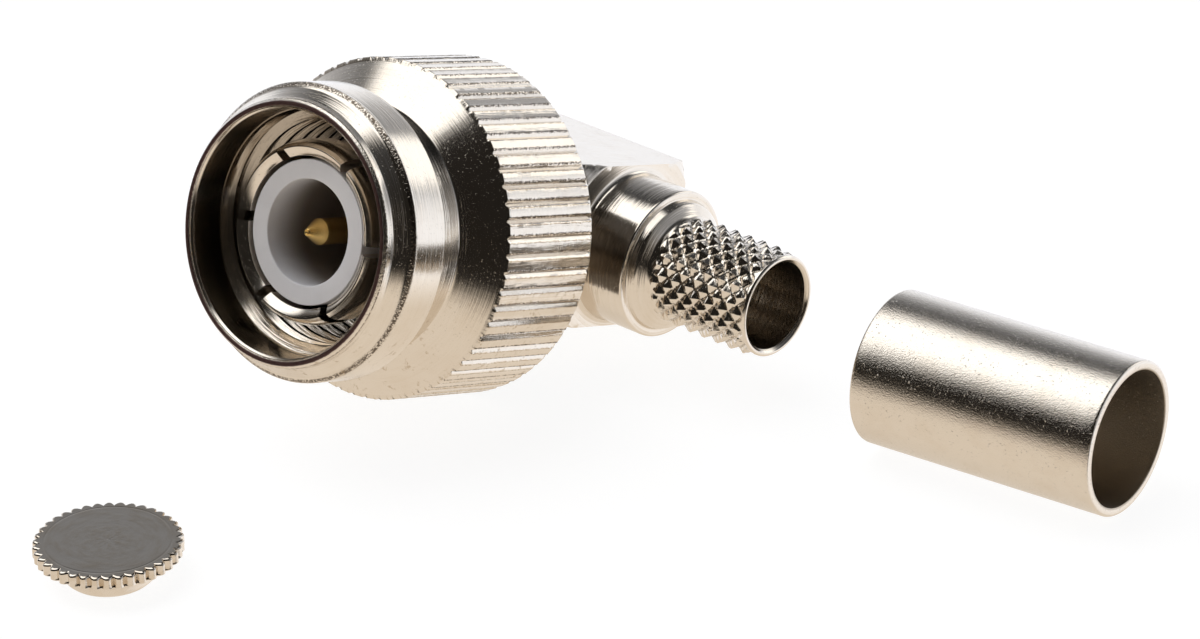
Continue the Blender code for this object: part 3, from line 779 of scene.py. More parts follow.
@dataclass
class CouplingNut:
    """The nut: lip, band, deep neck, cone and knurled grip outside; mouth, thread and seat inside."""

    plug: PlugFrame
    length: float = 12.75
    lip_inner: float = 5.86
    lip_radius: float = 5.93
    bevel_end: float = 0.15
    bevel_radius: float = 6.08
    strip_end: float = 0.53
    strip_radius: float = 6.12
    slope_end: float = 1.09
    slope_radius: float = 6.52
    band_radius: float = 6.80
    band_start: float = 1.24
    band_end: float = 3.26
    neck_radius: float = 5.92
    neck_start: float = 3.42
    neck_end: float = 5.28
    grip_radius: float = 7.85
    grip_start: float = 6.55
    grip_end: float = 12.32
    grip_chamfer: float = 0.35
    cone_radius: float = 7.64
    rear_radius: float = 7.40
    rear_joint: float = 7.26
    grooves: int = 61
    groove_depth: float = 0.140
    groove_half_width: float = 0.168
    burr: float = 0.014
    burr_from: float = 0.172
    burr_to: float = 0.184
    unevenness: float = 0.018
    mouth_radius: float = 5.62
    mouth_depth: float = 2.05
    thread_minor: float = 5.13
    thread_major: float = 5.57
    thread_root: float = 0.09
    thread_pitch: float = 25.4 / 28
    thread_start: float = 2.12
    thread_end: float = 9.10
    thread_turn: float = 110.0
    thread_angle: float = 60.0
    thread_cells: int = 96
    entry_slope: float = 0.95
    fade_turns: float = 0.15
    seat: float = 10.34
    hole_radius: float = 4.29
    ring_start: float = 11.16
    ring_end: float = 11.89
    ring_radius: float = 4.71
    rear_chamfer: float = 0.12
    mouth_chamfer: float = 0.18
    fine_columns: tuple[float, ...] = (0.0, 0.62, 1.20, 1.30, 1.56, 2.95, 4.34, 4.60, 4.70, 5.28)

    def outer_path(self) -> Array:
        """Return the outside, from the lip's front face to the joint on the rear face.

        The lip has a narrow front face, a bevel, a short strip and a slope that runs up to the band.
        """
        corners = [
            (0.0, self.lip_inner, 0.0),
            (0.0, self.lip_radius, 0.015),
            (self.bevel_end, self.bevel_radius, 0.03),
            (self.strip_end, self.strip_radius, 0.06),
            (self.slope_end, self.slope_radius, 0.30),
            (self.band_start - 0.03, self.band_radius - 0.13, 0.02),
            (self.band_start, self.band_radius - 0.09, 0.02),
            (self.band_start + 0.09, self.band_radius, 0.06),
            (self.band_end, self.band_radius, 0.07),
            (self.band_end + 0.10, self.band_radius - 0.10, 0.03),
            (self.neck_start, self.neck_radius + 0.05, 0.12),
            (self.neck_start + 0.25, self.neck_radius, 0.1),
            (self.neck_end, self.neck_radius, 0.16),
            (self.grip_start - 0.10, self.cone_radius, 0.05),
            (self.grip_start, self.grip_radius, 0.05),
            (self.grip_end, self.grip_radius, 0.06),
            (self.length - 0.03, self.grip_radius - self.grip_chamfer, 0.05),
            (self.length, self.rear_radius, 0.03),
            (self.length, self.rear_joint, 0.0),
        ]
        path = rounded_path(corners)
        return densified(path, lambda y: np.where(y < 5.2, 0.30, np.where(y < 6.6, 0.12, 0.16)))

    def inner_path(self) -> Array:
        """Return the inside, from the rear face through the ring's slot, seat and thread to the mouth."""
        chamfer = self.rear_chamfer
        corners = [
            (self.length, self.hole_radius + 0.30, 0.0),
            (self.length, self.hole_radius + chamfer, 0.02),
            (self.length - chamfer, self.hole_radius, 0.03),
            (self.ring_end, self.hole_radius, 0.02),
            (self.ring_end, self.ring_radius, 0.03),
            (self.ring_start, self.ring_radius, 0.03),
            (self.ring_start, self.hole_radius, 0.02),
            (self.seat, self.hole_radius, 0.03),
            (self.seat, self.thread_major, 0.06),
            (self.mouth_depth + 0.06, self.thread_major, 0.02),
            (self.mouth_depth, self.mouth_radius, 0.02),
            (self.mouth_chamfer, self.mouth_radius, 0.04),
            (0.0, self.mouth_radius + self.mouth_chamfer, 0.0),
        ]
        return densified(rounded_path(corners, samples=4), 0.45)

    def thread_ridge(self, skin: Skin) -> None:
        """Add the thread as a ridge carried along a helix.

        Its section is a truncated V with a flat crest. The crest's radius is the greater of the minor
        radius and the entry cone's, so the first turns grow out of the cone. The helix starts at station
        S, and its middle lies at S + pitch * turns. The section's last two points lie behind the
        thread's root, inside the wall.
        """
        crest = self.thread_pitch / 8
        depth = self.thread_major - self.thread_minor
        foot = crest + depth * math.tan(math.radians(self.thread_angle / 2))
        across = np.array([-foot, -crest, -0.02, 0.02, crest, foot, foot, -foot])
        radii = np.array([0.0, 1.0, 1.0, 1.0, 1.0, 0.0, -0.2, -0.2])
        turns = (self.thread_end - self.thread_start) / self.thread_pitch
        share = np.arange(0.0, turns, 1 / self.thread_cells)[:, None]
        station = self.thread_start + share * self.thread_pitch + across[None, :]
        cone = self.mouth_radius - (station - self.mouth_depth) * self.entry_slope
        rise = np.clip(share / self.fade_turns, 0.0, 1.0)
        rise = rise * np.clip((turns - share) / self.fade_turns, 0.0, 1.0)
        radius = self.thread_major - radii[None, :] * (depth * rise)
        radius = np.maximum(radius, np.minimum(cone, self.thread_major + 0.02))
        radius = np.where(radii[None, :] < 0, self.thread_major + self.thread_root, radius)
        angle = share * math.tau + math.radians(self.thread_turn)
        grid = skin.add_points(self.plug.about_plug(station, radius, angle))
        skin.weave(grid)
        skin.add_faces(grid[[0, -1]])

    def build(self) -> bpy.types.Object:
        """Build the nut.

        Outside, radius = min(profile, groove), where a groove's radius is its floor plus the distance
        from its middle over the tangent of half its angle. Beside each groove a ragged burr stands up
        to the full radius, as the knurling wheel leaves it, and the land between lies a hair lower.
        Lip, band and the inside have two columns to a groove, and the grip has all the fine ones.

        Returns:
            The nut's object.
        """
        rng = np.random.default_rng(SEED)
        pitch = math.tau / self.grooves
        first = -math.pi / 2 + pitch / 2
        offsets = np.radians(self.fine_columns)
        angle = (first + np.arange(self.grooves)[:, None] * pitch + offsets[None, :]).ravel()
        from_middle = np.minimum(offsets, pitch - offsets) * self.grip_radius
        floor = self.grip_radius - self.groove_depth
        slope = self.groove_depth / self.groove_half_width
        groove = np.tile(floor + from_middle * slope, self.grooves)
        depths = np.repeat(rng.normal(0.0, self.unevenness, self.grooves), len(offsets))
        skin = Skin()
        coarse = angle[:: len(offsets) // 2]
        path = self.outer_path()
        split = int(np.argmax(path[:, 0] > (self.neck_start + self.neck_end) / 2))
        front = skin.add_points(self.plug.about_plug(path[:split, :1], path[:split, 1:], coarse[None, :]))
        skin.weave(front)
        station, profile = path[split:, :1], path[split:, 1:]
        in_grip = smooth_step(self.neck_end + 0.1, self.neck_end + 0.3, station)
        radius = np.where(in_grip > 0, np.minimum(profile, groove[None, :] + depths[None, :]), profile)
        on_land = smooth_step(self.grip_start - 0.05, self.grip_start, station)
        on_land = on_land * (1 - smooth_step(self.grip_end, self.grip_end + 0.1, station))
        ridge = np.tile((from_middle > self.burr_from) & (from_middle < self.burr_to), self.grooves)
        ragged = np.clip(rng.normal(0.35, 0.45, radius.shape), 0.0, 1.0)
        lowered = self.burr * np.where(ridge[None, :], ragged, 1.0) * on_land
        radius = np.where(groove[None, :] > profile, radius - lowered, radius)
        grip = skin.add_points(self.plug.about_plug(station, radius, angle[None, :]))
        skin.weave(grip)
        path = self.inner_path()
        inside = skin.add_points(self.plug.about_plug(path[:, :1], path[:, 1:], coarse[None, :]))
        skin.weave(inside)
        skin.bridge(grip[0], front[-1])
        skin.bridge(grip[-1], inside[0])
        skin.bridge(front[0], inside[-1])
        self.thread_ridge(skin)
        return skin.to_object("nut_skin", sharp=30.0)


@dataclass
class OuterContact:
    """The slotted spring sleeve with its flange, its grooved shank and its tail."""

    plug: PlugFrame
    tip: float = 1.26
    bead_end: float = 2.87
    bore: float = 3.47
    body: float = 4.05
    bead: float = 4.22
    slots: int = 6
    slot_half_width: float = 0.235
    slot_end: float = 6.40
    slot_turn: float = 4.5
    finger_cells: int = 22
    slot_cells: int = 4
    tip_wall: float = 0.41
    tip_flat: float = 0.04
    tip_bevel: float = 0.16
    tip_rise: float = 0.19
    bead_start: float = 1.86
    bore_bevel: float = 0.28
    flange_start: float = 9.00
    flange_end: float = 10.30
    flange_radius: float = 4.98
    shank: float = 4.20
    groove_start: float = 11.21
    groove_end: float = 11.84
    groove_radius: float = 3.80
    shank_end: float = 15.24
    tail_radius: float = 3.05
    tail_end: float = 16.84
    liner: float = 2.50
    seat_start: float = 8.00
    seat_radius: float = 3.28
    seat_end: float = 9.59

    def outer_path(self) -> Array:
        """Return the outside from the fingers' tips to the tail's end.

        A tip has a narrow flat, a short bevel outside it and a longer one inside, down to the bore.
        """
        flat = self.bore + self.tip_wall
        corners = [
            (self.tip, flat, 0.0),
            (self.tip, flat + self.tip_flat, 0.01),
            (self.tip + self.tip_bevel, flat + self.tip_rise, 0.02),
            (self.bead_start, self.bead, 0.20),
            (self.bead_end, self.bead, 0.35),
            (self.bead_end + 0.58, self.body, 0.35),
            (self.slot_end, self.body, 0.0),
            (self.flange_start, self.body, 0.08),
            (self.flange_start, self.flange_radius, 0.05),
            (self.flange_end, self.flange_radius, 0.05),
            (self.flange_end, self.shank, 0.04),
            (self.groove_start, self.shank, 0.03),
            (self.groove_start, self.groove_radius, 0.03),
            (self.groove_end, self.groove_radius, 0.03),
            (self.groove_end, self.shank, 0.03),
            (self.shank_end, self.shank, 0.05),
            (self.shank_end, self.tail_radius, 0.03),
            (self.tail_end, self.tail_radius, 0.0),
        ]
        return densified(rounded_path(corners), 0.4)

    def inner_path(self) -> Array:
        """Return the inside from the tail's end to the fingers' tips."""
        corners = [
            (self.tail_end, self.liner, 0.0),
            (self.seat_end, self.liner, 0.02),
            (self.seat_end, self.seat_radius, 0.02),
            (self.seat_start, self.seat_radius, 0.02),
            (self.seat_start, self.bore, 0.03),
            (self.slot_end, self.bore, 0.0),
            (self.tip + self.bore_bevel, self.bore, 0.03),
            (self.tip, self.bore + self.tip_wall - 0.03, 0.0),
        ]
        return densified(rounded_path(corners), 0.5)

    def build(self) -> bpy.types.Object:
        """Build the contact.

        A slot's edge lies at asin(half width / radius) from its middle, so its walls are parallel. Cells
        between the edges are left out in front of the slot's end, and flat walls close what opens.

        Returns:
            The contact's object.
        """
        outer, inner = self.outer_path(), self.inner_path()
        path = np.vstack([outer, inner])
        station, radius = path[:, :1], path[:, 1:]
        pitch = math.tau / self.slots
        edge = np.arcsin(self.slot_half_width / radius)
        across = np.linspace(-1.0, 1.0, self.slot_cells, endpoint=False)[None, :]
        along = np.linspace(0.0, 1.0, self.finger_cells, endpoint=False)[None, :]
        one = np.hstack([edge * across, edge + along * (pitch - 2 * edge)])
        turns = math.radians(self.slot_turn) + np.arange(self.slots) * pitch
        angle = (turns[None, :, None] + one[:, None, :]).reshape(len(path), -1)
        skin = Skin()
        grid = skin.add_points(self.plug.about_plug(station, radius, angle))
        in_slot = np.tile(np.arange(one.shape[1]) < self.slot_cells, self.slots)
        middle = (station[:, 0] + np.roll(station[:, 0], -1)) / 2
        keep = ~((middle < self.slot_end)[:, None] & in_slot[None, :])
        skin.weave(grid, loop_rows=True, keep=keep)
        front = np.flatnonzero(station[:, 0] < self.slot_end + 1e-6)
        loop = np.concatenate([front[front >= len(outer)], front[front < len(outer)]])
        starts = np.arange(self.slots) * one.shape[1]
        skin.add_faces(grid[loop[:, None], starts[None, :]].T)
        skin.add_faces(grid[loop[:, None], (starts + self.slot_cells)[None, :]].T)
        cells = (starts[:, None] + np.arange(self.slot_cells)[None, :]).ravel()
        top, low = grid[loop[-1]], grid[loop[0]]
        skin.add_faces(np.stack([top[cells], top[cells + 1], low[cells + 1], low[cells]], axis=-1))
        return skin.to_object("contact_skin", sharp=42.0)


@dataclass
class TurnedPiece:
    """A plain turned piece of the plug: a closed section, or a solid that ends on the axis."""

    plug: PlugFrame
    name: str
    corners: list[Corner] = field(default_factory=list)
    columns: int = 128
    solid: bool = False
    step: float = 0.4

    def build(self) -> bpy.types.Object:
        """Turn the section about the plug's axis and close it."""
        path = rounded_path(self.corners, closed=not self.solid)
        if self.solid:
            path = densified(path, self.step)
        else:
            path = densified(np.vstack([path, path[:1]]), self.step)[:-1]
        angle = full_turn(self.columns)
        skin = Skin()
        grid = skin.add_points(self.plug.about_plug(path[:, :1], path[:, 1:], angle[None, :]))
        skin.weave(grid, loop_rows=not self.solid)
        if self.solid:
            skin.close(grid[0], self.plug.place(0.0, path[0, 0], 0.0))
            skin.close(grid[-1], self.plug.place(0.0, path[-1, 0], 0.0))
        return skin.to_object(self.name)


@dataclass
class Tube:
    """The white tube: a bore with a floor that holds the pin, and a seat in the contact."""

    plug: PlugFrame
    front: float = 1.66
    bore: float = 2.42
    radius: float = 3.31
    seat_start: float = 7.90
    seat_radius: float = 3.24
    end: float = 9.55
    hole: float = 0.65
    floor: float = 7.20

    def build(self) -> bpy.types.Object:
        """Turn the tube."""
        corners = [
            (self.front, self.bore, 0.07),
            (self.front, self.radius, 0.05),
            (self.seat_start, self.radius, 0.05),
            (self.seat_start + 0.05, self.seat_radius, 0.02),
            (self.end, self.seat_radius, 0.05),
            (self.end, self.hole, 0.02),
            (self.floor, self.hole, 0.02),
            (self.floor, self.bore, 0.20),
        ]
        return TurnedPiece(self.plug, "tube_skin", corners).build()


@dataclass
class Gasket:
    """The sealing ring in front of the contact's flange."""

    plug: PlugFrame
    front: float = 7.81
    rear: float = 8.95
    inner: float = 4.10
    outer: float = 4.90
    fillet: float = 0.25

    def build(self) -> bpy.types.Object:
        """Turn the ring's rounded section."""
        corners = [
            (self.front, self.inner, self.fillet),
            (self.front, self.outer, self.fillet),
            (self.rear, self.outer, self.fillet),
            (self.rear, self.inner, self.fillet),
        ]
        return TurnedPiece(self.plug, "gasket_skin", corners, columns=96).build()


@dataclass
class CentrePin:
    """The gilt pin: blunt tip, cone, shaft, collar and slotted solder tail."""

    plug: PlugFrame
    tip: float = 1.62
    tip_radius: float = 0.165
    cone_length: float = 0.80
    radius: float = 0.61
    collar_start: float = 9.59
    collar_end: float = 10.14
    collar_radius: float = 1.05
    tail_radius: float = 0.92
    tail_end: float = 20.36
    slot_start: float = 18.61
    slot_width: float = 0.90

    def build(self) -> bpy.types.Object:
        """Turn the pin and cut the solder slot across its tail."""
        corners = [
            (self.tip + 0.06, 0.02, 0.0),
            (self.tip + 0.05, 0.07, 0.02),
            (self.tip, 0.11, 0.03),
            (self.tip + 0.02, self.tip_radius, 0.05),
            (self.tip + self.cone_length, self.radius, 0.03),
            (self.collar_start, self.radius, 0.02),
            (self.collar_start, self.collar_radius, 0.02),
            (self.collar_end, self.collar_radius, 0.02),
            (self.collar_end, self.tail_radius, 0.02),
            (self.tail_end, self.tail_radius, 0.06),
            (self.tail_end, NEAR_AXIS, 0.0),
        ]
        pin = TurnedPiece(self.plug, "pin_skin", corners, columns=64, solid=True).build()
        reach = self.tail_radius * 1.4
        half = self.slot_width / 2
        low = np.array([-reach, self.slot_start, -half])
        high = np.array([reach, self.tail_end + reach, half])
        cutter = box_cutter(self.plug, low, high)
        cut_away(pin, cutter)
        return pin


def box_cutter(plug: PlugFrame, low: Array, high: Array) -> bpy.types.Object:
    """Return a box in the plug's frame, from its lowest to its highest corner."""
    skin = Skin()
    square = np.array([[0, 0], [1, 0], [1, 1], [0, 1]])
    bottom = low + (high - low) * np.column_stack([square, np.zeros(4)])
    top = low + (high - low) * np.column_stack([square, np.ones(4)])
    corners = np.stack([bottom, top])
    numbers = skin.add_points(plug.place(corners[..., 0], corners[..., 1], corners[..., 2]))
    skin.weave(numbers)
    skin.add_faces(numbers)
    return skin.to_object("cutter")


@dataclass
class Elbow:
    """The elbow: a square bar turned at both ends, with boss, hub and knurled crimp stem."""

    plug: PlugFrame
    centre: float = 19.21
    half_width: float = 3.93
    rear_half_width: float = 3.72
    half_length: float = 4.30
    corner_trim: float = 0.42
    boss_radius: float = 3.55
    boss_end: float = 7.23
    hub_radius: float = 3.08
    hub_end: float = 7.62
    knurl_start: float = 8.15
    knurl_end: float = 13.13
    knurl_pitch: float = 0.83
    knurl_columns: int = 18
    knurl_tip: float = 2.62
    knurl_root: float = 2.34
    stem_end: float = 13.73
    stem_radius: float = 2.45
    bore: float = 2.10
    entry_radius: float = 3.09
    entry_end: float = 16.88
    cavity: float = 2.60
    recess_radius: float = 3.41
    recess_floor: float = 22.31
    edge_power: float = 90.0

    def path(self) -> Array:
        """Return the turned outline, from the far end along the stem and back down its bore."""
        corner = self.half_width * math.sqrt(2)
        face = corner - 2 * self.corner_trim
        slope = self.half_length - 0.55
        mid = (self.knurl_tip + self.knurl_root) / 2
        corners = [
            (-self.half_length, NEAR_AXIS, 0.0),
            (-self.half_length, face, 0.10),
            (-slope, corner * 1.01, 0.3),
            (slope, corner * 1.01, 0.3),
            (self.half_length, face, 0.16),
            (self.half_length, self.boss_radius, 0.34),
            (self.boss_end, self.boss_radius, 0.13),
            (self.boss_end, self.hub_radius + 0.08, 0.03),
            (self.hub_end - 0.12, self.hub_radius, 0.06),
            (self.hub_end, self.hub_radius - 0.05, 0.06),
            (self.knurl_start - 0.20, mid + 0.06, 0.40),
            (self.knurl_start, mid, 0.10),
            (self.knurl_end - 0.45, mid, 0.30),
            (self.stem_end - 0.08, self.stem_radius - 0.02, 0.06),
            (self.stem_end, self.stem_radius - 0.10, 0.05),
            (self.stem_end, self.bore + 0.15, 0.03),
            (self.stem_end - 0.16, self.bore, 0.04),
            (0.0, self.bore, 0.0),
            (0.0, NEAR_AXIS, 0.0),
        ]
        path = rounded_path(corners, samples=6)
        in_knurl = lambda s: (s > self.knurl_start - 0.3) & (s < self.stem_end - 0.1)
        split = int(np.argmax(path[:, 0])) + 1
        fine = densified(path[:split], lambda s: np.where(in_knurl(s), 0.065, 0.45))
        return np.vstack([fine, densified(path[split:], 1.2)])

    def bar(self, angle: Array) -> Array:
        """Return the bar's radius at each angle.

        Each flat at distance d and direction f gives cos(angle - f) / d, and the radius is the reciprocal
        of a high power mean of them, which rounds the edges between the flats.
        """
        flats = {turn: self.half_width for turn in (0.0, 90.0, 180.0, 270.0)}
        flats[0.0] = self.rear_half_width
        pull = sum(
            np.maximum(np.cos(angle - math.radians(turn)) / distance, 0.0) ** self.edge_power
            for turn, distance in flats.items()
        )
        return pull ** (-1 / self.edge_power)

    def knurl(self, station: Array, angle: Array) -> Array:
        """Return the knurl's height above the blank.

        Two sets of crossing grooves run at angle * count / full turn plus and minus station / pitch. The
        height is the lesser of their triangle waves, less its middle, so the tips stand proud. Towards
        the open end the tips are turned off, which leaves flat diamonds between shallow grooves.
        """
        round_phase = angle * self.knurl_columns / math.tau
        along = (station - self.knurl_start) / self.knurl_pitch
        height = np.minimum(triangle_wave(round_phase + along), triangle_wave(round_phase - along))
        rng = np.random.default_rng(SEED + 1)
        height = height + rng.normal(0.0, 0.02, height.shape)
        turned_off = smooth_step(self.knurl_end - 0.55, self.stem_end - 0.2, station)
        height = np.minimum(height, 0.95 - 0.50 * turned_off)
        rise = smooth_step(self.knurl_start - 0.1, self.knurl_start + 0.25, station)
        fade = 1 - smooth_step(self.stem_end - 0.30, self.stem_end - 0.10, station)
        return (self.knurl_tip - self.knurl_root) * (height - 0.5) * rise * fade

    def columns(self) -> Array:
        """Return the column angles: even ones for the knurl, and closer ones at the bar's edges."""
        even = full_turn(self.knurl_columns * 12)
        rear = math.atan2(self.half_width, self.rear_half_width)
        edges = np.array([rear, 3 * math.pi / 4, 5 * math.pi / 4, math.tau - rear])
        close = (edges[:, None] + np.radians([-1.6, -0.8, -0.35, 0.0, 0.35, 0.8, 1.6])[None, :]).ravel()
        spread = np.abs(even[:, None] - edges[None, :]).min(axis=1) > math.radians(1.0)
        return np.sort(np.concatenate([even[spread], close]))

    def build(self) -> bpy.types.Object:
        """Build the elbow as one surface about the stem's axis, then cut the plug's bore into it."""
        path = self.path()
        station, profile = path[:, :1], path[:, 1:]
        angle = self.columns()[None, :]
        outside = np.arange(len(path))[:, None] <= int(np.argmax(path[:, 0]))
        bar = self.bar(angle)
        power = self.edge_power
        blended = (profile**-power + bar**-power) ** (-1 / power)
        radius = np.where(profile > 1.0, blended, profile * np.ones_like(bar))
        on_stem = (station > self.knurl_start - 0.3) & (station < self.stem_end - 0.09)
        radius = radius + np.where(on_stem & outside, self.knurl(station, angle), 0.0)
        skin = Skin()
        grid = skin.add_points(self.plug.about_stem(self.centre, station, radius, angle))
        skin.weave(grid)
        skin.close(grid[0], self.plug.place(path[0, 0], self.centre, 0.0))
        skin.close(grid[-1], self.plug.place(path[-1, 0], self.centre, 0.0))
        elbow = skin.to_object("elbow_skin", sharp=40.0)
        front = self.centre - self.half_width
        rear = self.centre + self.rear_half_width
        bore = [
            (front - 1.0, NEAR_AXIS, 0.0),
            (front - 1.0, self.entry_radius, 0.0),
            (self.entry_end, self.entry_radius, 0.02),
            (self.entry_end, self.cavity, 0.02),
            (self.recess_floor, self.cavity, 0.02),
            (self.recess_floor, self.recess_radius, 0.02),
            (rear - 0.08, self.recess_radius, 0.02),
            (rear + 1.0, self.recess_radius + 1.08, 0.0),
            (rear + 1.0, NEAR_AXIS, 0.0),
        ]
        cutter = TurnedPiece(self.plug, "bore_cutter", bore, columns=112, solid=True, step=3.0).build()
        cut_away(elbow, cutter, sharp=40.0)
        return elbow


@dataclass
class Cap:
    """The cap: a scalloped disc on a spigot, lying face up on the floor."""

    centre: Array
    radius: float = 3.37
    teeth: int = 38
    tooth_depth: float = 0.23
    tooth_cells: int = 14
    unevenness: float = 0.018
    disc: float = 0.62
    height: float = 1.78
    spigot: float = 2.10
    circle: float = 2.86

    def build(self) -> bpy.types.Object:
        """Turn the cap and scallop its rim.

        A valley's depth is depth * (1 - |sin(teeth * angle / 2)|): round crests and sharp valleys. It
        moves the rim and its bevels inwards together, and runs out above the rim's lower edge.
        """
        under = self.height - self.disc
        corners = [
            (self.height, NEAR_AXIS, 0.0),
            (self.height, self.circle - 0.03, 0.0),
            (self.height - 0.005, self.circle, 0.0),
            (self.height, self.circle + 0.03, 0.0),
            (self.height, self.radius - 0.13, 0.02),
            (self.height - 0.03, self.radius - 0.045, 0.03),
            (self.height - 0.09, self.radius, 0.03),
            (under + 0.07, self.radius, 0.04),
            (under, self.radius - 0.09, 0.04),
            (under, self.spigot, 0.06),
            (0.14, self.spigot, 0.04),
            (0.0, self.spigot - 0.14, 0.04),
            (0.0, NEAR_AXIS, 0.0),
        ]
        path = densified(rounded_path(corners), lambda z: np.where(z > under - 0.01, 0.07, 0.5))
        station, profile = path[:, :1], path[:, 1:]
        angle = full_turn(self.teeth * self.tooth_cells)[None, :]
        rng = np.random.default_rng(SEED + 2)
        uneven = np.repeat(rng.normal(0.0, self.unevenness, self.teeth), self.tooth_cells)[None, :]
        wave = np.abs(np.sin(angle * self.teeth / 2))
        valley = (self.tooth_depth + uneven) * (1 - wave)
        share = smooth_step(self.radius - 0.50, self.radius - 0.08, profile)
        share = share * (0.75 + 0.25 * smooth_step(under + 0.06, under + 0.12, station))
        radius = profile - valley * share
        points = placed(
            self.centre[0] / MM + radius * np.cos(angle),
            self.centre[1] / MM + radius * np.sin(angle),
            station,
        )
        skin = Skin()
        grid = skin.add_points(points)
        skin.weave(grid)
        skin.close(grid[0], np.array([self.centre[0], self.centre[1], self.height * MM]))
        skin.close(grid[-1], np.array([self.centre[0], self.centre[1], 0.0]))
        return skin.to_object("cap_skin", sharp=34.0)


@dataclass
class Ferrule:
    """The crimp ferrule: a plain tube with slightly rounded ends, lying on its side along x."""

    centre: Array
    length: float = 12.50
    radius: float = 3.63
    bore: float = 3.20

    def build(self) -> bpy.types.Object:
        """Turn the tube's rounded wall about its own axis."""
        half = self.length / 2
        corners = [
            (-half, self.bore, 0.05),
            (-half, self.radius, 0.16),
            (half, self.radius, 0.16),
            (half, self.bore, 0.05),
        ]
        path = rounded_path(corners, closed=True, samples=7)
        path = densified(np.vstack([path, path[:1]]), 0.5)[:-1]
        angle = full_turn(144)[None, :]
        points = placed(
            self.centre[0] / MM + path[:, :1],
            self.centre[1] / MM + path[:, 1:] * np.cos(angle),
            self.centre[2] / MM + path[:, 1:] * np.sin(angle),
        )
        skin = Skin()
        grid = skin.add_points(points)
        skin.weave(grid, loop_rows=True)
        return skin.to_object("ferrule_skin")


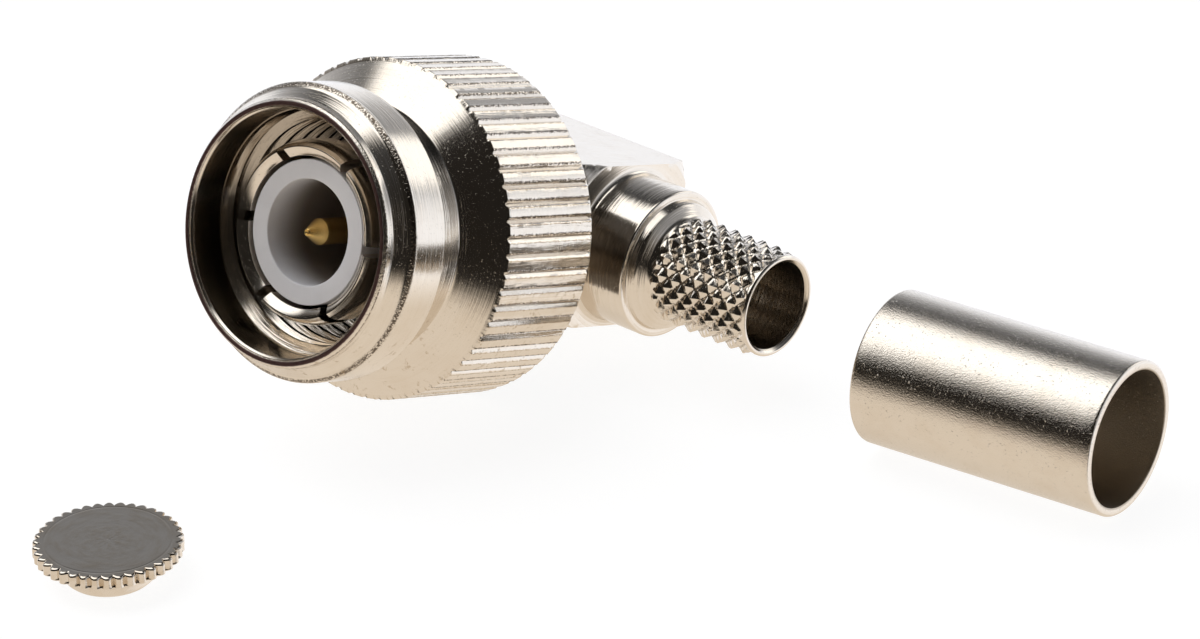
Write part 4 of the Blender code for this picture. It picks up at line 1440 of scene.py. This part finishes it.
@dataclass(frozen=True)
class Studio:
    """Floor, world and camera."""

    plug: PlugFrame
    focal_px: float = 6287.0
    frame_px: float = 1200.0
    sensor: float = 36.0
    eye: tuple[float, float, float] = (156.146, -194.418, 131.96)
    right: Direction = (0.82136, 0.56989, -0.02445)
    up: Direction = (-0.25700, 0.40800, 0.87606)

    def camera(self) -> None:
        """Set the camera at the photograph's place, turned as the photograph's was."""
        data = bpy.data.cameras.new("camera")
        data.sensor_width = self.sensor
        data.sensor_fit = "HORIZONTAL"
        data.lens = self.focal_px * self.sensor / self.frame_px
        data.clip_start = 0.01
        data.clip_end = 20.0
        right = np.asarray(self.right)
        up = np.asarray(self.up)
        right = right / np.linalg.norm(right)
        up = up - right * (up @ right)
        up = up / np.linalg.norm(up)
        turn = Matrix(np.column_stack([right, up, np.cross(right, up)]).tolist()).to_4x4()
        place = self.plug.origin + np.asarray(self.eye) * MM
        camera = bpy.data.objects.new("camera", data)
        camera.matrix_world = Matrix.Translation(place.tolist()) @ turn
        bpy.context.scene.collection.objects.link(camera)
        bpy.context.scene.camera = camera

    def table_level(self, back: Value, x: Value, z: Value) -> Value:
        """Return the table's level: pale behind, fading towards the horizon in front, dark far right."""
        behind = (0.78 + z.between(-0.72, -0.38) * 0.44) * (0.91 + x.between(-0.50, -0.20) * 0.09)
        in_front = (1 - z.between(-0.24, 0.02)) * 0.77
        table = back * behind + (1 - back) * in_front
        return table * (1 - x.between(0.82, 0.92) * 0.90)

    def room_level(self, back: Value, z: Value) -> Value:
        """Return the room's level: dark in front, and behind a sweep below a wall that darkens upwards."""
        wall = 1.10 - z.between(0.09, 0.24) * 0.61
        wall = wall - z.between(0.22, 0.52) * 0.27 - z.between(0.5, 0.7) * 0.18
        return 0.015 + back * wall

    def panel(self, x: Value, y: Value, z: Value) -> Value:
        """Return where the wall's white panel is."""
        across = x.within((0.04, 0.12, 0.48, 0.60))
        upwards = z.within((0.12, 0.18, 0.45, 0.60))
        return across * y.between(0.30, 0.50) * upwards

    def softbox(self, x: Value, y: Value, z: Value) -> Value:
        """Return where the softbox is. Its edges are straight lines of x / z and y / z."""
        high = z.math("MAXIMUM", 0.05)
        across = x / high
        along = y / high
        softbox = across.within((-1.55, -1.10, -0.08, 0.22)) * (1 - along.between(0.28, 0.52))
        softbox = softbox * (along - across * 0.85).between(-0.40, -0.28)
        return softbox * z.between(0.15, 0.25)

    def world(self) -> None:
        """Make the studio that the metal mirrors, as a level for each direction.

        A white sweep lies along the back horizon, with a grey wall above it that darkens upwards and a
        white panel on its right. A large softbox hangs overhead on the left. The room in front is dark,
        and the pale table below it fades towards the horizon. Cameras see plain white.
        """
        world = bpy.data.worlds.new("studio")
        bpy.context.scene.world = world
        world.use_nodes = True
        graph = Graph(world.node_tree)
        direction = graph.node("ShaderNodeTexCoord", output="Generated")
        x, y, z = (
            graph.node("ShaderNodeSeparateXYZ", {0: direction}, output=axis) for axis in ("X", "Y", "Z")
        )
        back = y.between(-0.35, 0.10)
        above = z.between(-0.01, 0.01)
        level = above * self.room_level(back, z) + (1 - above) * self.table_level(back, x, z)
        cool = back * z.between(-0.75, -0.30)
        tint = graph.mix(cool, rgba((1.12, 1.0, 0.86)), rgba((0.97, 1.0, 1.07)))
        base = graph.node("ShaderNodeVectorMath", {0: tint, "Scale": level}, operation="SCALE")
        lit = graph.mix(self.panel(x, y, z), base, rgba((1.5, 1.5, 1.5)))
        lit = graph.mix(self.softbox(x, y, z), lit, rgba((1.7, 1.7, 1.7)))
        camera_ray = graph.node("ShaderNodeLightPath", output="Is Camera Ray")
        colour = graph.mix(camera_ray, lit, rgba((1.0, 1.0, 1.0)))
        diffuse_ray = graph.node("ShaderNodeLightPath", output="Is Diffuse Ray")
        inputs = {"Color": colour, "Strength": diffuse_ray * 0.45 + 1.0}
        shader = graph.node("ShaderNodeBackground", inputs)
        graph.node("ShaderNodeOutputWorld", {"Surface": shader})

    def floor(self) -> None:
        """Lay a white floor that keeps the object's shadow and lets the studio's own table be mirrored."""
        skin = Skin()
        side = 1.5
        square = np.array([[-side, -side, 0], [side, -side, 0], [side, side, 0], [-side, side, 0]])
        skin.add_faces(skin.add_points(square)[None, :])
        floor = skin.to_object("floor")
        material, graph = new_material("pale_floor")
        matte = graph.node("ShaderNodeBsdfDiffuse", {"Color": rgba((0.9, 0.9, 0.9))})
        white = graph.node("ShaderNodeEmission", {"Color": rgba((1.0, 1.0, 1.0)), "Strength": 1.14})
        seen = graph.node("ShaderNodeMixShader", {0: 0.20, 1: white, 2: matte})
        clear = graph.node("ShaderNodeBsdfTransparent")
        camera_ray = graph.node("ShaderNodeLightPath", output="Is Camera Ray")
        shown = graph.node("ShaderNodeMixShader", {0: camera_ray, 1: clear, 2: seen})
        graph.node("ShaderNodeOutputMaterial", {"Surface": shown})
        floor.data.materials.append(material)


def box_middle(node: str) -> Array:
    """Return the middle of a node's box in metres."""
    low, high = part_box(node)
    return (np.asarray(low) + np.asarray(high)) / 2


def build_plug(plug: PlugFrame) -> None:
    """Build and dress the plug's pieces, and dress the two hidden ones that keep their solids."""
    along_plug = Lathe(tuple(plug.origin), tuple(plug.axis))
    stem_root = plug.origin + plug.axis * Elbow.centre * MM
    along_stem = Lathe(tuple(stem_root), tuple(plug.stem))
    nut = NutFinish("nut_nickel", along_plug)
    contact = NickelFinish("contact_nickel", along_plug, ring_height=0.003)
    # The elbow's bore gets painted shade
    elbow = ElbowFinish(
        "elbow_nickel", along_stem, ring_scale=8.0, ring_round=1.0, ring_height=0.020,
        bore_radius=2.12, bore_from=-3.5, up=tuple(plug.up), along=tuple(plug.axis),
    )
    # The tube's finish paints shade down its bore
    white = TubeFinish("white_fluoroplastic", along_plug, (0.84, 0.85, 0.90), (0.80, 0.81, 0.86), 0.38)
    gold = SoftFinish(
        "gold_plate", along_plug, (0.86, 0.58, 0.20), (0.74, 0.47, 0.14), 0.24,
        metallic=1.0, grain_height=0.001,
    )
    silicone = SoftFinish(
        "silicone_rubber", along_plug, (0.10, 0.10, 0.11), (0.07, 0.07, 0.075), 0.55, grain_height=0.004
    )
    commission(CouplingNut(plug), NUT_BODY, "coupling_nut", nut)
    commission(OuterContact(plug), PLUG_BODY, "outer_contact", contact)
    commission(Elbow(plug), PLUG_BODY, "elbow_body", elbow)
    commission(Tube(plug), PLUG_BODY, "front_insulator", white)
    commission(CentrePin(plug), PLUG_BODY, "centre_pin", gold)
    commission(Gasket(plug), PLUG_BODY, "gasket", silicone)
    bronze = NickelFinish(
        "bronze_spring", along_plug, colour=(0.62, 0.42, 0.22), stain=(0.40, 0.25, 0.12), roughness=0.3
    )
    for node, finish in {"snap_ring": bronze, "rear_insulator": white}.items():
        materials = frame["nodes"][node].data.materials
        materials.clear()
        materials.append(finish.material())


def build_loose_pieces() -> None:
    """Build and dress the cap and the ferrule."""
    cap_middle = box_middle("cap")
    upright = Lathe((float(cap_middle[0]), float(cap_middle[1]), 0.0), (0.0, 0.0, 1.0))
    cap = NickelFinish(
        "cap_nickel", upright, ring_scale=3.0, ring_height=0.009, ring_tint=0.45, pit_height=0.001
    )
    commission(Cap(cap_middle), PLUG_BODY, "cap", cap)
    middle = box_middle("ferrule")
    lying = Lathe(tuple(middle), (1.0, 0.0, 0.0))
    # The ferrule's bore gets painted shade
    ferrule = NickelFinish(
        "ferrule_nickel", lying, colour=(0.77, 0.71, 0.63), roughness=0.11, ring_height=0.0,
        ring_tint=0.0, grain_scale=14.0, grain_height=0.014, pit_scale=9.0, pit_height=0.014,
        bore_radius=3.24, bore_shade=(0.50, 0.44, 0.36), bore_roughness=0.25,
    )
    commission(Ferrule(middle), PLUG_BODY, "ferrule", ferrule)


def main() -> None:
    """Set the studio and build every piece."""
    logging.basicConfig(level=logging.INFO, format="%(name)s: %(message)s")
    bpy.context.scene.view_settings.view_transform = "Standard"
    plug = PlugFrame.from_joint(frame["joints"][0])
    studio = Studio(plug)
    studio.camera()
    studio.world()
    studio.floor()
    build_plug(plug)
    build_loose_pieces()


if __name__ == "__main__":
    main()
